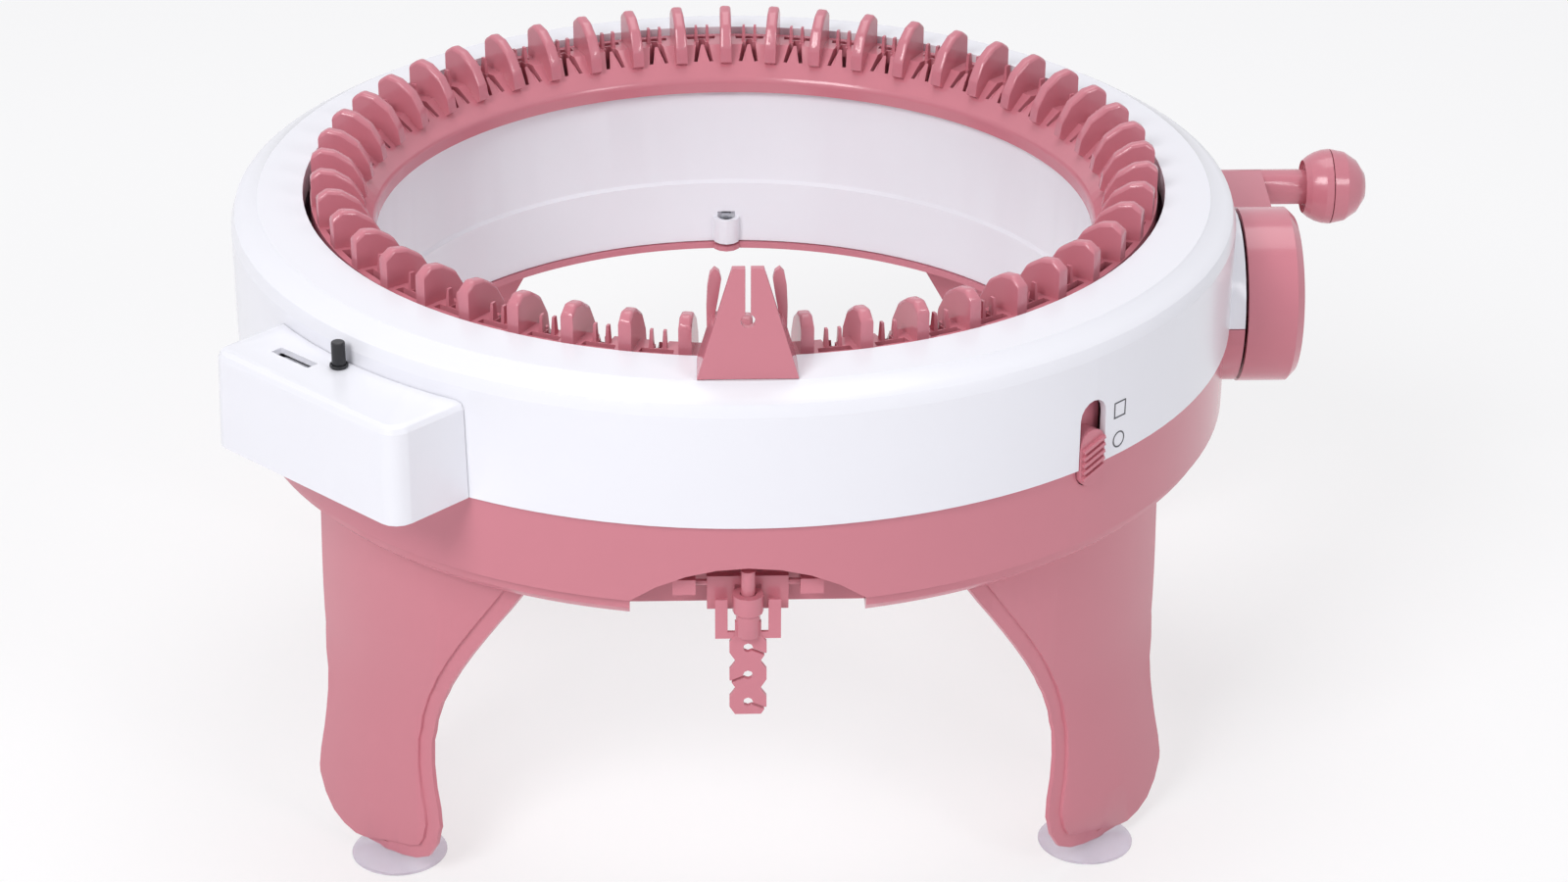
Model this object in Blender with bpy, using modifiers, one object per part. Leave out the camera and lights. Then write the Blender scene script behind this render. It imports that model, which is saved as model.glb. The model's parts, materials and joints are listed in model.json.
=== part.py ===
"""Circular knitting machine with forty-eight needles, cranked by hand.

Metres, +Z up. The bottom centre of the machine's box is the world origin. An empty on the needle
bed's upright axis, at the joint between the two housings, carries every part, so heights below are
counted from that joint. The yarn feeder faces -Y and the crank's shaft runs out along +X.
"""

import math

import bmesh
import bpy
from mathutils import Matrix, Vector

# Counts and steps of round shapes
NEEDLE_COUNT = 48
PINION_TEETH_COUNT = 16
HOUSING_STEPS = 48
CRANK_STEPS = 28
KNOB_STEPS = 20
CUP_STEPS = 16
SMALL_STEPS = 12
SCREW_STEPS = 8
PROFILE_STEPS = 8
CORNER_STEPS = 4
CURVE_STEPS = 2
FLANK_STEPS = 2

# Fits shared by all parts
CLEARANCE = 0.0003
RUNNING_GAP = 0.0010
OVERRUN = 0.0020
SEAM_MERGE = 0.00001
FLAT_ANGLE = math.radians(0.05)

# Needle bed: the turning ring with its fins, prongs and needle slots
BED_INNER_RADIUS = 0.1255
BED_DEPTH = 0.0148
BED_CONE_DEPTH = 0.0157
BED_CONE_WIDTH = 0.0105
BED_BAND_HEIGHT = 0.0050
BED_SETBACK = 0.0010
BED_WALL = 0.0025
FIN_SETBACK = 0.0005
FIN_REACH = 0.0190
FIN_SINK = 0.0065
FIN_HEIGHT = 0.0195
FIN_THICKNESS = 0.0042
FIN_OUTLINE_SHARES = (
    (0.0, 0.24),
    (0.0, 0.88),
    (0.18, 1.0),
    (0.45, 0.95),
    (0.74, 0.76),
    (0.93, 0.44),
    (0.99, 0.10),
    (0.82, 0.0),
    (0.53, 0.24),
)
PRONG_SPACING = 0.0043
PRONG_WIDTH = 0.0015
PRONG_DEPTH = 0.0028
PRONG_SETBACK = 0.0009
PRONG_RISE = 0.0060
PRONG_TIP_SHARE = 0.6
SLOT_WIDTH = 0.0024
SLOT_SETBACK = 0.0055
SLOT_LENGTH = 0.0105

# Inner liner and its three screwed bosses
LINER_SETBACK = 0.0020
LINER_LEDGE = 0.0010
LINER_WALL = 0.0030
LINER_STEP_RISE = 0.0242
LINER_STEP = 0.0012
LINER_BOSS_COUNT = 3
LINER_BOSS_RADIUS = 0.0052
LINER_BOSS_HEIGHT = 0.0102
LINER_SCREW_HEAD_RADIUS = 0.0031
LINER_SCREW_HEAD_HEIGHT = 0.0024
LINER_SCREW_RECESS = 0.0038
SCREW_SHANK_RADIUS = 0.0015

# Needle drum: grooved guide of the needles under the needle bed
DRUM_WALL = 0.0030
DRUM_FLOOR_GAP = 0.0020
GROOVE_WIDTH = 0.0024
GROOVE_DEPTH = 0.0014

# Cam ring that lifts the needles at the feeder
CAM_GAP = 0.0015
CAM_WALL = 0.0030
CAM_HEIGHT = 0.0242
CAM_LIFT = 0.0200
CAM_LOBE_ANGLE = math.radians(70.0)
FEEDER_ANGLE = math.radians(-90.0)

# Crown gear under the needle bed's skirt, and the crank's pinion
GEAR_MODULE = 0.00302
GEAR_FACE = 0.0080
CAM_GEAR_GAP = 0.0020
GEAR_RING_MARGIN = 0.0035
GEAR_RING_WIDTH = 0.0090
GEAR_RING_THICKNESS = 0.0030
TOOTH_ROOT_GAP = 0.0010
CROWN_TOOTH_WIDTH = 0.0040
PINION_TOOTH_SHARE = 0.44
TOOTH_DEDENDUM_SHARE = 1.2
PRESSURE_ANGLE = math.radians(20.0)
PINION_HUB_RADIUS = 0.0085
PINION_HUB_LENGTH = 0.0030
PINION_END_GAP = 0.0040
PINION_FLOOR_GAP = 0.0053

# Housings: rim round the opening, outer wall, base
HOUSING_WALL = 0.0025
OPENING_GAP = 0.0015
OPENING_RISE = 0.0020
OPENING_LIP_DEPTH = 0.0090
RIM_WIDTH = 0.0250
SHOULDER_SHARES = ((0.643, 0.975), (0.839, 0.93), (0.951, 0.885), (1.0, 0.80))
LOWER_INSET = 0.0014
BASE_BAND_HEIGHT = 0.0070
BASE_FLOOR = 0.0025
BASE_STEP = 0.0024
BASE_CHAMFER = 0.0030

# Crank: shaft, bush, boss, disc, arm and stem
SHAFT_RADIUS = 0.0040
SHAFT_OVERHANG = 0.0025
BUSH_WALL = 0.0020
BUSH_FLANGE_RADIUS = 0.0090
BUSH_FLANGE_THICKNESS = 0.0020
BOSS_RADIUS = 0.0305
BOSS_PROUD = 0.0030
BOSS_DEPTH = 0.0072
POST_THICKNESS = 0.0060
POST_HALF_WIDTH = 0.0085
POST_TOP_HEIGHT = 0.0090
DISC_RADIUS = 0.0310
DISC_GAP = 0.0010
DISC_THICKNESS = 0.0200
DISC_CHAMFER = 0.0028
DISC_WALL = 0.0026
DISC_HUB_RADIUS = 0.0090
DISC_HUB_RECESS = 0.0020
CRANK_LENGTH = 0.0740
CRANK_TILT_ANGLE = math.radians(8.4)
ARM_HALF_HEIGHT = 0.0066
ARM_THICKNESS = 0.0160
STEM_LENGTH = 0.0172

# Ball knob on the crank's stem
KNOB_RADIUS = 0.0140
KNOB_STANDOFF = 0.0083
KNOB_MOUTH_RADIUS = 0.0098
KNOB_AXLE_RADIUS = 0.0032
KNOB_SCREW_HEAD_RADIUS = 0.0052
KNOB_SCREW_HEAD_HEIGHT = 0.0022
KNOB_SCREW_SHANK_RADIUS = 0.0014
KNOB_SCREW_LENGTH = 0.0080
KNOB_CAVITY_DEPTH = 0.0050

# Yarn feeder on the front rim
FEEDER_SETBACK = 0.0008
FEEDER_DEPTH = 0.0142
FEEDER_BASE_HALF_WIDTH = 0.0162
FEEDER_TOP_HALF_WIDTH = 0.0049
FEEDER_SKIRT = 0.0020
FEEDER_RISE = 0.0364
FEEDER_WALL = 0.0024
FEEDER_FLOOR = 0.0042
FEEDER_SIDE_RISE = 0.0160
FEEDER_SLOT_WIDTH = 0.0017
FEEDER_EYE_RADIUS = 0.0023
FEEDER_EYE_RISE = 0.0188
HORN_FOOT_RISE = 0.0080
HORN_HEIGHT = 0.0235
HORN_OUTER_OFFSET = 0.0124
HORN_WIDTH = 0.0062
HORN_THICKNESS = 0.0026
HORN_OUTLINE_SHARES = (
    (0.80, 0.0),
    (1.0, 0.0),
    (1.03, 0.45),
    (0.98, 0.75),
    (0.85, 0.93),
    (0.62, 1.0),
    (0.38, 0.95),
    (0.28, 0.85),
    (0.42, 0.6),
    (0.62, 0.3),
)
FEEDER_PEG_RADIUS = 0.0020
FEEDER_PEG_LENGTH = 0.0060
FEEDER_PEG_SPREAD = 0.0095

# Row counter at the front left
COUNTER_ANGLE = math.radians(-135.0)
COUNTER_PROJECTION = 0.0252
COUNTER_WIDTH = 0.0897
COUNTER_HEIGHT = 0.0336
COUNTER_WALL = 0.0022
COUNTER_CORNER = 0.0066
COUNTER_FILLET = 0.0025
COUNTER_DRAFT = 0.0008
WINDOW_OFFSET = 0.0097
WINDOW_SIDE = -0.0193
WINDOW_LENGTH = 0.0178
WINDOW_WIDTH = 0.0044
DIGIT_WHEEL_COUNT = 3
DIGIT_WHEEL_WIDTH = 0.0046
DIGIT_WHEEL_PITCH = 0.0054
DIGIT_SHAFT_RADIUS = 0.0014
COUNTER_CHEEK = 0.0018
RESET_OFFSET = 0.0045
RESET_SIDE = -0.0035
RESET_RADIUS = 0.0023
RESET_RISE = 0.0090
RESET_LENGTH = 0.0200
RESET_COLLAR_RADIUS = 0.0036
RESET_COLLAR_THICKNESS = 0.0016
RESET_BUSH_WALL = 0.0005
RESET_BUSH_HEIGHT = 0.0010

# Mode slider at the front right
SLIDER_ANGLE = math.radians(-50.2)
SLIDER_SLOT_WIDTH = 0.0117
SLIDER_SLOT_TOP = 0.0236
SLIDER_SLOT_BOTTOM = -0.0072
SLIDER_TRAVEL = 0.0100
SLIDER_PROUD = 0.0002
SLIDER_DEPTH = 0.0072
SLIDER_FLANGE_THICKNESS = 0.0020
SLIDER_FLANGE_MARGIN = 0.0022
SLIDER_RIB_COUNT = 5
SLIDER_RIB_PITCH = 0.0025
SLIDER_RIB_RISE = 0.0012
SLIDER_RIB_WIDTH = 0.0012
SLIDER_RIB_REACH_SHARE = 0.9
SLIDER_RIB_TILT = math.radians(18.0)

# Yarn tensioner under the arch in the lower housing
ARCH_WIDTH = 0.0750
ARCH_RISE = 0.0133
POCKET_HALF_WIDTH = 0.0330
POCKET_DEPTH = 0.0180
POCKET_RISE = 0.0138
PIVOT_SETBACK = 0.0115
PIVOT_RISE = 0.0102
PIVOT_PIN_RADIUS = 0.0011
TAB_INNER_SIDE = 0.0166
TAB_WIDTH = 0.0074
TAB_SETBACK = 0.0070
TAB_RISE = 0.0032
TAB_DROP = 0.0021
BRACKET_HALF_WIDTH = 0.0130
BRACKET_THICKNESS = 0.0024
BRACKET_RISE = 0.0026
BRACKET_DROP = 0.0092
BRACKET_SLOT_HALF_WIDTH = 0.0042
BRACKET_BRIDGE = 0.0030
TENSION_POST_RADIUS = 0.0023
TENSION_POST_FORWARD = 0.0050
TENSION_POST_RISE = 0.0068
COLLAR_RADIUS = 0.0050
COLLAR_DROP = 0.0016
COLLAR_HEIGHT = 0.0062
COLLAR_TAPER = 0.0012
LEVER_THICKNESS = 0.0018
LEVER_ARM_WIDTH = 0.0040
LEVER_ARM_SIDE = 0.0105
LEVER_ARM_DROP = 0.0036
LEVER_FOOT_DROP = 0.0177
LEVER_FOOT_HEIGHT = 0.0024
LOBE_COUNT = 3
LOBE_HALF_WIDTH = 0.00595
LOBE_NECK_HALF_WIDTH = 0.0042
LOBE_PITCH = 0.0100
LOBE_DROP = 0.0165
LOBE_EYE_RADIUS = 0.0016
LOBE_EYE_SHARE = 0.45
LOBE_SLIT_WIDTH = 0.0009
LOBE_SLIT_ANGLE = math.radians(-24.0)
LOBE_OUTLINE_SHARES = ((0.0, 0.0), (0.25, 1.0), (0.62, 1.0), (0.90, 0.0))

# Legs and suction cups; the leg's outline is in shares of its half width and its length
LEG_LENGTH = 0.1142
LEG_HALF_WIDTH = 0.0500
LEG_SETBACK = 0.0107
LEG_FLARE = 0.01255
LEG_THICKNESS = 0.0028
LEG_RIM_WIDTH = 0.0050
LEG_RIM_STEP = 0.0012
LEG_FLARE_START_SHARE = 0.442
LEG_FLARE_SHARES = (0.0, 0.442, 0.58, 0.72, 0.86, 1.0)
LEG_OUTER_SHARES = (
    (0.896, 0.0),
    (0.928, 0.216),
    (0.936, 0.391),
    (0.908, 0.523),
    (0.820, 0.637),
    (0.784, 0.742),
    (0.752, 0.882),
    (0.552, 0.972),
)
LEG_INNER_SHARES = (
    (0.282, 0.996),
    (0.050, 0.994),
    (-0.176, 0.988),
    (-0.414, 0.953),
    (-0.494, 0.848),
    (-0.392, 0.742),
    (-0.302, 0.610),
    (-0.358, 0.479),
    (-0.518, 0.348),
    (-0.722, 0.216),
    (-0.922, 0.094),
    (-1.064, 0.0),
)
LEG_FLANGE_DEPTH = 0.0140
LEG_FLANGE_WIDTH = 0.0400
LEG_SCREW_HEAD_RADIUS = 0.0030
LEG_SCREW_HEAD_HEIGHT = 0.0018
LEG_SCREW_SHANK_RADIUS = 0.0014
FOOT_ANGLE = math.radians(45.0)
FOOT_INSET = 0.0082
FOOT_PAD_RADIUS = 0.0066
FOOT_PAD_THICKNESS = 0.0030
CUP_RADIUS = 0.0164
CUP_HEIGHT = 0.0032
CUP_RIM = 0.0014
CUP_STUD_RADIUS = 0.0026
CUP_HEAD_RADIUS = 0.0042
CUP_HEAD_HEIGHT = 0.0018

# Surface finishes: linear colour, roughness, metallic
WHITE = ((0.90, 0.90, 0.93), 0.32, 0.0)
PINK = ((0.67, 0.24, 0.30), 0.30, 0.0)
BLACK = ((0.02, 0.02, 0.025), 0.35, 0.0)
STEEL = ((0.60, 0.60, 0.62), 0.30, 1.0)
RUBBER = ((0.55, 0.52, 0.58), 0.25, 0.0)
NYLON = ((0.80, 0.78, 0.74), 0.45, 0.0)

# Radii that follow from the needle bed outward
HALF_GAP = CLEARANCE / 2.0
LINER_RADIUS = BED_INNER_RADIUS + LINER_SETBACK
LINER_OUTER_RADIUS = LINER_RADIUS + LINER_WALL
CENTRE_HOLE_RADIUS = LINER_RADIUS - LINER_LEDGE
DRUM_INNER_RADIUS = LINER_OUTER_RADIUS + RUNNING_GAP
DRUM_OUTER_RADIUS = DRUM_INNER_RADIUS + DRUM_WALL
CAM_INNER_RADIUS = DRUM_OUTER_RADIUS + CAM_GAP
CAM_OUTER_RADIUS = CAM_INNER_RADIUS + CAM_WALL
PINION_INNER_FACE = CAM_OUTER_RADIUS + CAM_GEAR_GAP
PINION_OUTER_FACE = PINION_INNER_FACE + GEAR_FACE
GEAR_PITCH_RADIUS = PINION_INNER_FACE + GEAR_FACE / 2.0
GEAR_RING_RADIUS = GEAR_PITCH_RADIUS + GEAR_RING_MARGIN
GEAR_RING_BORE_RADIUS = GEAR_RING_RADIUS - GEAR_RING_WIDTH
BED_OUTER_RADIUS = GEAR_RING_RADIUS - BED_SETBACK
BED_CONE_TOP_RADIUS = BED_INNER_RADIUS + BED_CONE_WIDTH
FIN_OUTER_RADIUS = BED_OUTER_RADIUS - FIN_SETBACK
SLOT_INNER_RADIUS = BED_INNER_RADIUS + SLOT_SETBACK
SLOT_OUTER_RADIUS = SLOT_INNER_RADIUS + SLOT_LENGTH
PRONG_RADIUS = SLOT_OUTER_RADIUS - PRONG_SETBACK
OPENING_RADIUS = GEAR_RING_RADIUS + OPENING_GAP
BODY_RADIUS = OPENING_RADIUS + RIM_WIDTH
LOWER_RADIUS = BODY_RADIUS - LOWER_INSET
LEG_TOP_RADIUS = LOWER_RADIUS - LEG_SETBACK
FOOT_CENTRE_RADIUS = LEG_TOP_RADIUS + LEG_FLARE - FOOT_INSET

# Gear sizes
CROWN_TEETH_COUNT = round(2.0 * GEAR_PITCH_RADIUS / GEAR_MODULE)
MODULE = 2.0 * GEAR_PITCH_RADIUS / CROWN_TEETH_COUNT
PINION_PITCH_RADIUS = MODULE * PINION_TEETH_COUNT / 2.0
PINION_TIP_RADIUS = PINION_PITCH_RADIUS + MODULE
PINION_ROOT_RADIUS = PINION_PITCH_RADIUS - MODULE * TOOTH_DEDENDUM_SHARE
NEEDLE_ANGLE = math.tau / NEEDLE_COUNT

# Heights that follow from the gears up to the rim and down to the floor
GEAR_RING_UNDERSIDE = PINION_TIP_RADIUS + TOOTH_ROOT_GAP
GEAR_RING_TOP_HEIGHT = GEAR_RING_UNDERSIDE + GEAR_RING_THICKNESS
BED_TOP_HEIGHT = GEAR_RING_TOP_HEIGHT + BED_DEPTH
BED_LIP_HEIGHT = BED_TOP_HEIGHT - BED_CONE_DEPTH
FIN_FOOT_HEIGHT = BED_TOP_HEIGHT - FIN_SINK
PRONG_HEIGHT = BED_TOP_HEIGHT + PRONG_RISE
OPENING_HEIGHT = BED_TOP_HEIGHT + OPENING_RISE
FLOOR_TOP = -(PINION_TIP_RADIUS + PINION_FLOOR_GAP)
BASE_UNDERSIDE = FLOOR_TOP - BASE_FLOOR
WALL_BOTTOM = BASE_UNDERSIDE + BASE_BAND_HEIGHT
LINER_BOTTOM = FLOOR_TOP + CLEARANCE
LINER_BOSS_TOP = LINER_BOTTOM + LINER_BOSS_HEIGHT
LINER_STEP_HEIGHT = LINER_BOTTOM + LINER_STEP_RISE
CAM_LOW_HEIGHT = LINER_BOTTOM + CAM_HEIGHT
LEG_TOP = BASE_UNDERSIDE - CLEARANCE
LEG_BOTTOM = LEG_TOP - LEG_LENGTH
PAD_BOTTOM = LEG_BOTTOM + CLEARANCE
SPLIT_HEIGHT = CLEARANCE + CUP_HEIGHT - LEG_BOTTOM

# Places of the crank's pieces along its shaft
POST_INNER_FACE = PINION_OUTER_FACE + PINION_HUB_LENGTH + PINION_END_GAP
SHAFT_INNER_END = PINION_INNER_FACE - SHAFT_OVERHANG
BUSH_RADIUS = SHAFT_RADIUS + CLEARANCE + BUSH_WALL
BOSS_FACE = BODY_RADIUS + BOSS_PROUD
DISC_INNER_FACE = BOSS_FACE + DISC_GAP
DISC_OUTER_FACE = DISC_INNER_FACE + DISC_THICKNESS
STEM_END = DISC_OUTER_FACE + STEM_LENGTH
KNOB_CENTRE = STEM_END + KNOB_STANDOFF

# Places of the feeder, counter, slider and tensioner
FEEDER_BACK = OPENING_RADIUS + FEEDER_SETBACK
FEEDER_FRONT = FEEDER_BACK + FEEDER_DEPTH
FEEDER_BASE_HEIGHT = OPENING_HEIGHT - FEEDER_SKIRT
FEEDER_TOP_HEIGHT = OPENING_HEIGHT + FEEDER_RISE
FEEDER_SIDE_TOP_HEIGHT = OPENING_HEIGHT + FEEDER_SIDE_RISE
FEEDER_EYE_HEIGHT = OPENING_HEIGHT + FEEDER_EYE_RISE
HORN_FOOT_HEIGHT = OPENING_HEIGHT + HORN_FOOT_RISE
COUNTER_FRONT = BODY_RADIUS + COUNTER_PROJECTION
COUNTER_BOTTOM_HEIGHT = HALF_GAP
COUNTER_TOP_HEIGHT = COUNTER_BOTTOM_HEIGHT + COUNTER_HEIGHT
WINDOW_REACH = BODY_RADIUS + WINDOW_OFFSET
DIGIT_WHEEL_RADIUS = WINDOW_OFFSET - RUNNING_GAP
RESET_REACH = BODY_RADIUS + RESET_OFFSET
RESET_TOP_HEIGHT = COUNTER_TOP_HEIGHT + RESET_RISE
SLIDER_FACE = BODY_RADIUS + SLIDER_PROUD
SLIDER_BACK = SLIDER_FACE - SLIDER_DEPTH
PIVOT_FRONT = BODY_RADIUS - PIVOT_SETBACK
PIVOT_HEIGHT = BASE_UNDERSIDE + PIVOT_RISE
POCKET_BACK = BODY_RADIUS - POCKET_DEPTH
POCKET_TOP = PIVOT_HEIGHT + POCKET_RISE
TAB_FRONT = BODY_RADIUS - TAB_SETBACK
COLLAR_BOTTOM = -COLLAR_DROP - COLLAR_HEIGHT

# Turns of pieces drawn flat or upright
UPRIGHT_TURN = (math.pi / 2.0, 0.0, 0.0)
SIDEWAYS_TURN = (math.pi / 2.0, 0.0, math.pi / 2.0)
SHAFT_TURN = (0.0, math.pi / 2.0, 0.0)


def clear_scene():
    for old in list(bpy.data.objects):
        bpy.data.objects.remove(old, do_unlink=True)


def new_collection(name):
    collection = bpy.data.collections.new(name)
    bpy.context.scene.collection.children.link(collection)
    return collection


def finish_material(name, finish):
    colour, roughness, metallic = finish
    material = bpy.data.materials.new(name)
    material.use_nodes = True
    shader = material.node_tree.nodes["Principled BSDF"]
    shader.inputs["Base Color"].default_value = (*colour, 1.0)
    shader.inputs["Roughness"].default_value = roughness
    shader.inputs["Metallic"].default_value = metallic
    return material


def add_empty(name, location, parent=None, rotation=(0.0, 0.0, 0.0)):
    empty = bpy.data.objects.new(name, None)
    empty.empty_display_size = BODY_RADIUS
    empty.location = location
    empty.rotation_euler = rotation
    empty.parent = parent
    PARTS.objects.link(empty)
    return empty


def place(obj, parent, location=(0.0, 0.0, 0.0), rotation=(0.0, 0.0, 0.0)):
    obj.parent = parent
    obj.location = location
    obj.rotation_euler = rotation
    return obj


def as_part(obj, finish, parent, location=(0.0, 0.0, 0.0), rotation=(0.0, 0.0, 0.0)):
    """Gives a shape its material and its place as a finished sub-part."""
    obj.data.materials.clear()
    obj.data.materials.append(finish_material(obj.name + "_finish", finish))
    return place(obj, parent, location, rotation)


def boolean(target, operand, operation):
    """Cuts or joins with an operand that stays hidden among the cutters."""
    for collection in list(operand.users_collection):
        collection.objects.unlink(operand)
    CUTTERS.objects.link(operand)
    operand.hide_render = True
    operand.display_type = "WIRE"
    modifier = target.modifiers.new(operand.name, "BOOLEAN")
    modifier.operation = operation
    modifier.solver = "EXACT"
    modifier.object = operand
    return target


def cut(target, operand):
    return boolean(target, operand, "DIFFERENCE")


def join(target, operand):
    return boolean(target, operand, "UNION")


def object_from(name, shape):
    mesh = bpy.data.meshes.new(name)
    shape.to_mesh(mesh)
    shape.free()
    obj = bpy.data.objects.new(name, mesh)
    PARTS.objects.link(obj)
    return obj


def box(name, low, high, parent, location=(0.0, 0.0, 0.0), rotation=(0.0, 0.0, 0.0)):
    """Box between two corners, given in the frame of its parent and place."""
    size = Vector(high) - Vector(low)
    centre = (Vector(high) + Vector(low)) / 2.0
    shape = bmesh.new()
    bmesh.ops.create_cube(shape, size=1.0, matrix=Matrix.Translation(centre) @ Matrix.Diagonal((*size, 1.0)))
    return place(object_from(name, shape), parent, location, rotation)


def rod(name, radius, low, high, parent, location=(0.0, 0.0, 0.0), rotation=(0.0, 0.0, 0.0), steps=SMALL_STEPS):
    """Upright cylinder between two heights, turned with its place."""
    shape = bmesh.new()
    middle = Matrix.Translation((0.0, 0.0, (low + high) / 2.0))
    bmesh.ops.create_cone(
        shape, cap_ends=True, segments=steps, radius1=radius, radius2=radius, depth=high - low, matrix=middle
    )
    return place(object_from(name, shape), parent, location, rotation)


def turned(name, profile, steps, parent, location=(0.0, 0.0, 0.0), rotation=(0.0, 0.0, 0.0), closed=True):
    """Solid of revolution about its own Z; the profile runs down its outer side."""
    mesh = bpy.data.meshes.new(name)
    points = [(radius, 0.0, height) for radius, height in profile]
    edges = [(i, i + 1) for i in range(len(points) - 1)]
    if closed:
        edges.append((len(points) - 1, 0))
    mesh.from_pydata(points, edges, [])
    obj = bpy.data.objects.new(name, mesh)
    PARTS.objects.link(obj)
    screw = obj.modifiers.new("turn", "SCREW")
    screw.angle = math.tau
    screw.steps = steps
    screw.render_steps = steps
    screw.use_merge_vertices = True
    screw.merge_threshold = SEAM_MERGE
    screw.use_smooth_shade = False
    return place(obj, parent, location, rotation)


def plate(name, outline, thickness, parent, location=(0.0, 0.0, 0.0), rotation=(0.0, 0.0, 0.0)):
    """Flat piece of the given outline, half its thickness to each side of its own XY plane."""
    curve = bpy.data.curves.new(name, "CURVE")
    curve.dimensions = "2D"
    curve.fill_mode = "BOTH"
    curve.extrude = thickness / 2.0
    spline = curve.splines.new("POLY")
    spline.points.add(len(outline) - 1)
    for point, (x, y) in zip(spline.points, outline):
        point.co = (x, y, 0.0, 1.0)
    spline.use_cyclic_u = True
    drawn = bpy.data.objects.new(name, curve)
    CUTTERS.objects.link(drawn)
    flat = bpy.data.meshes.new_from_object(drawn.evaluated_get(bpy.context.evaluated_depsgraph_get()))
    bpy.data.objects.remove(drawn, do_unlink=True)
    bpy.data.curves.remove(curve)
    shape = bmesh.new()
    shape.from_mesh(flat)
    bpy.data.meshes.remove(flat)
    bmesh.ops.remove_doubles(shape, verts=shape.verts, dist=SEAM_MERGE)
    bmesh.ops.dissolve_limit(shape, angle_limit=FLAT_ANGLE, verts=shape.verts, edges=shape.edges)
    bmesh.ops.recalc_face_normals(shape, faces=shape.faces)
    return place(object_from(name, shape), parent, location, rotation)


def repeat_around(obj, count):
    """Repeats an object's mesh around the parent's Z axis, first copy in place."""
    shape = bmesh.new()
    base = obj.data.copy()
    base.transform(Matrix.LocRotScale(obj.location, obj.rotation_euler, obj.scale))
    for index in range(count):
        copy = base.copy()
        copy.transform(turn_about_z(math.tau * index / count))
        shape.from_mesh(copy)
        bpy.data.meshes.remove(copy)
    bpy.data.meshes.remove(base)
    shape.to_mesh(obj.data)
    shape.free()
    obj.location = (0.0, 0.0, 0.0)
    obj.rotation_euler = (0.0, 0.0, 0.0)
    return obj


def arc(centre, radius, start, end, steps):
    """Points on a circle from the start angle to the end angle, both included."""
    return [
        (
            centre[0] + radius * math.cos(start + (end - start) * i / steps),
            centre[1] + radius * math.sin(start + (end - start) * i / steps),
        )
        for i in range(steps + 1)
    ]


def polar(radius, angle, height=0.0):
    return Vector((radius * math.cos(angle), radius * math.sin(angle), height))


def smooth(share):
    """Eased step from zero to one."""
    share = min(max(share, 0.0), 1.0)
    return (1.0 - math.cos(math.pi * share)) / 2.0


def turn_about_z(angle):
    return Matrix.Rotation(angle, 4, "Z")


def curve_through(points, steps):
    """Smooth open curve through points, with the given number of steps between each two."""
    curve = []
    for index in range(len(points) - 1):
        before = Vector(points[max(index - 1, 0)])
        start = Vector(points[index])
        end = Vector(points[index + 1])
        after = Vector(points[min(index + 2, len(points) - 1)])
        leave = (end - before) / 2.0
        arrive = (after - start) / 2.0
        for step in range(steps):
            t = step / steps
            ease = smooth_cubic(t)
            bend = leave * (t * (1.0 - t) ** 2) - arrive * (t * t * (1.0 - t))
            curve.append(tuple(start + (end - start) * ease + bend))
    curve.append(tuple(points[-1]))
    return curve


def smooth_cubic(t):
    """Cubic step from zero to one, flat at both ends."""
    return t * t + 2.0 * t * t * (1.0 - t)


def machine_reach():
    """Lowest and highest X and Y of the machine around its upright axis."""
    corner = Vector((COUNTER_FRONT - COUNTER_CORNER, COUNTER_WIDTH / 2.0 - COUNTER_CORNER))
    front = corner.x * math.sin(COUNTER_ANGLE) + corner.y * math.cos(COUNTER_ANGLE) - COUNTER_CORNER
    left = corner.x * math.cos(COUNTER_ANGLE) + corner.y * math.sin(COUNTER_ANGLE) - COUNTER_CORNER
    low = (min(-BODY_RADIUS, left), min(-BODY_RADIUS, front))
    high = (max(BODY_RADIUS, KNOB_CENTRE + KNOB_RADIUS), BODY_RADIUS)
    return low, high


def add_machine_axis():
    """Stands the machine with the bottom centre of its box on the world origin."""
    low, high = machine_reach()
    centre = (-(low[0] + high[0]) / 2.0, -(low[1] + high[1]) / 2.0, SPLIT_HEIGHT)
    return add_empty("machine_axis", centre)


def slider_slot(name, parent):
    """Slot through the outer wall for the mode slider, with a round top and bottom."""
    outline = stadium(SLIDER_SLOT_WIDTH / 2.0, SLIDER_SLOT_BOTTOM, SLIDER_SLOT_TOP)
    depth = BODY_RADIUS - SLIDER_BACK + OVERRUN
    centre = polar(BODY_RADIUS - depth / 2.0 + OVERRUN, SLIDER_ANGLE)
    return plate(name, outline, depth, parent, centre, (math.pi / 2.0, 0.0, SLIDER_ANGLE + math.pi / 2.0))


def half_boss(name, parent, start, gap):
    """Half of the round boss around the crank's shaft, above or below the joint."""
    outline = arc((0.0, gap), BOSS_RADIUS, start, start + math.pi, 2 * PROFILE_STEPS)
    return plate(name, outline, BOSS_DEPTH, parent, (BOSS_FACE - BOSS_DEPTH / 2.0, 0.0, 0.0), SIDEWAYS_TURN)


def bush_hole(name, parent):
    """Bore through the wall for the crank's bush."""
    radius = BUSH_RADIUS + CLEARANCE
    return rod(name, radius, POST_INNER_FACE + POST_THICKNESS, BOSS_FACE + OVERRUN, parent, rotation=SHAFT_TURN)


def feeder_peg_places():
    middle = (FEEDER_FRONT + FEEDER_BACK) / 2.0
    return [(-FEEDER_PEG_SPREAD, -middle), (FEEDER_PEG_SPREAD, -middle)]


def rim_shoulder():
    """Points from the opening's edge over the rounded shoulder to the outer wall."""
    return [(OPENING_RADIUS + RIM_WIDTH * out, OPENING_HEIGHT * up) for out, up in SHOULDER_SHARES]


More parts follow.
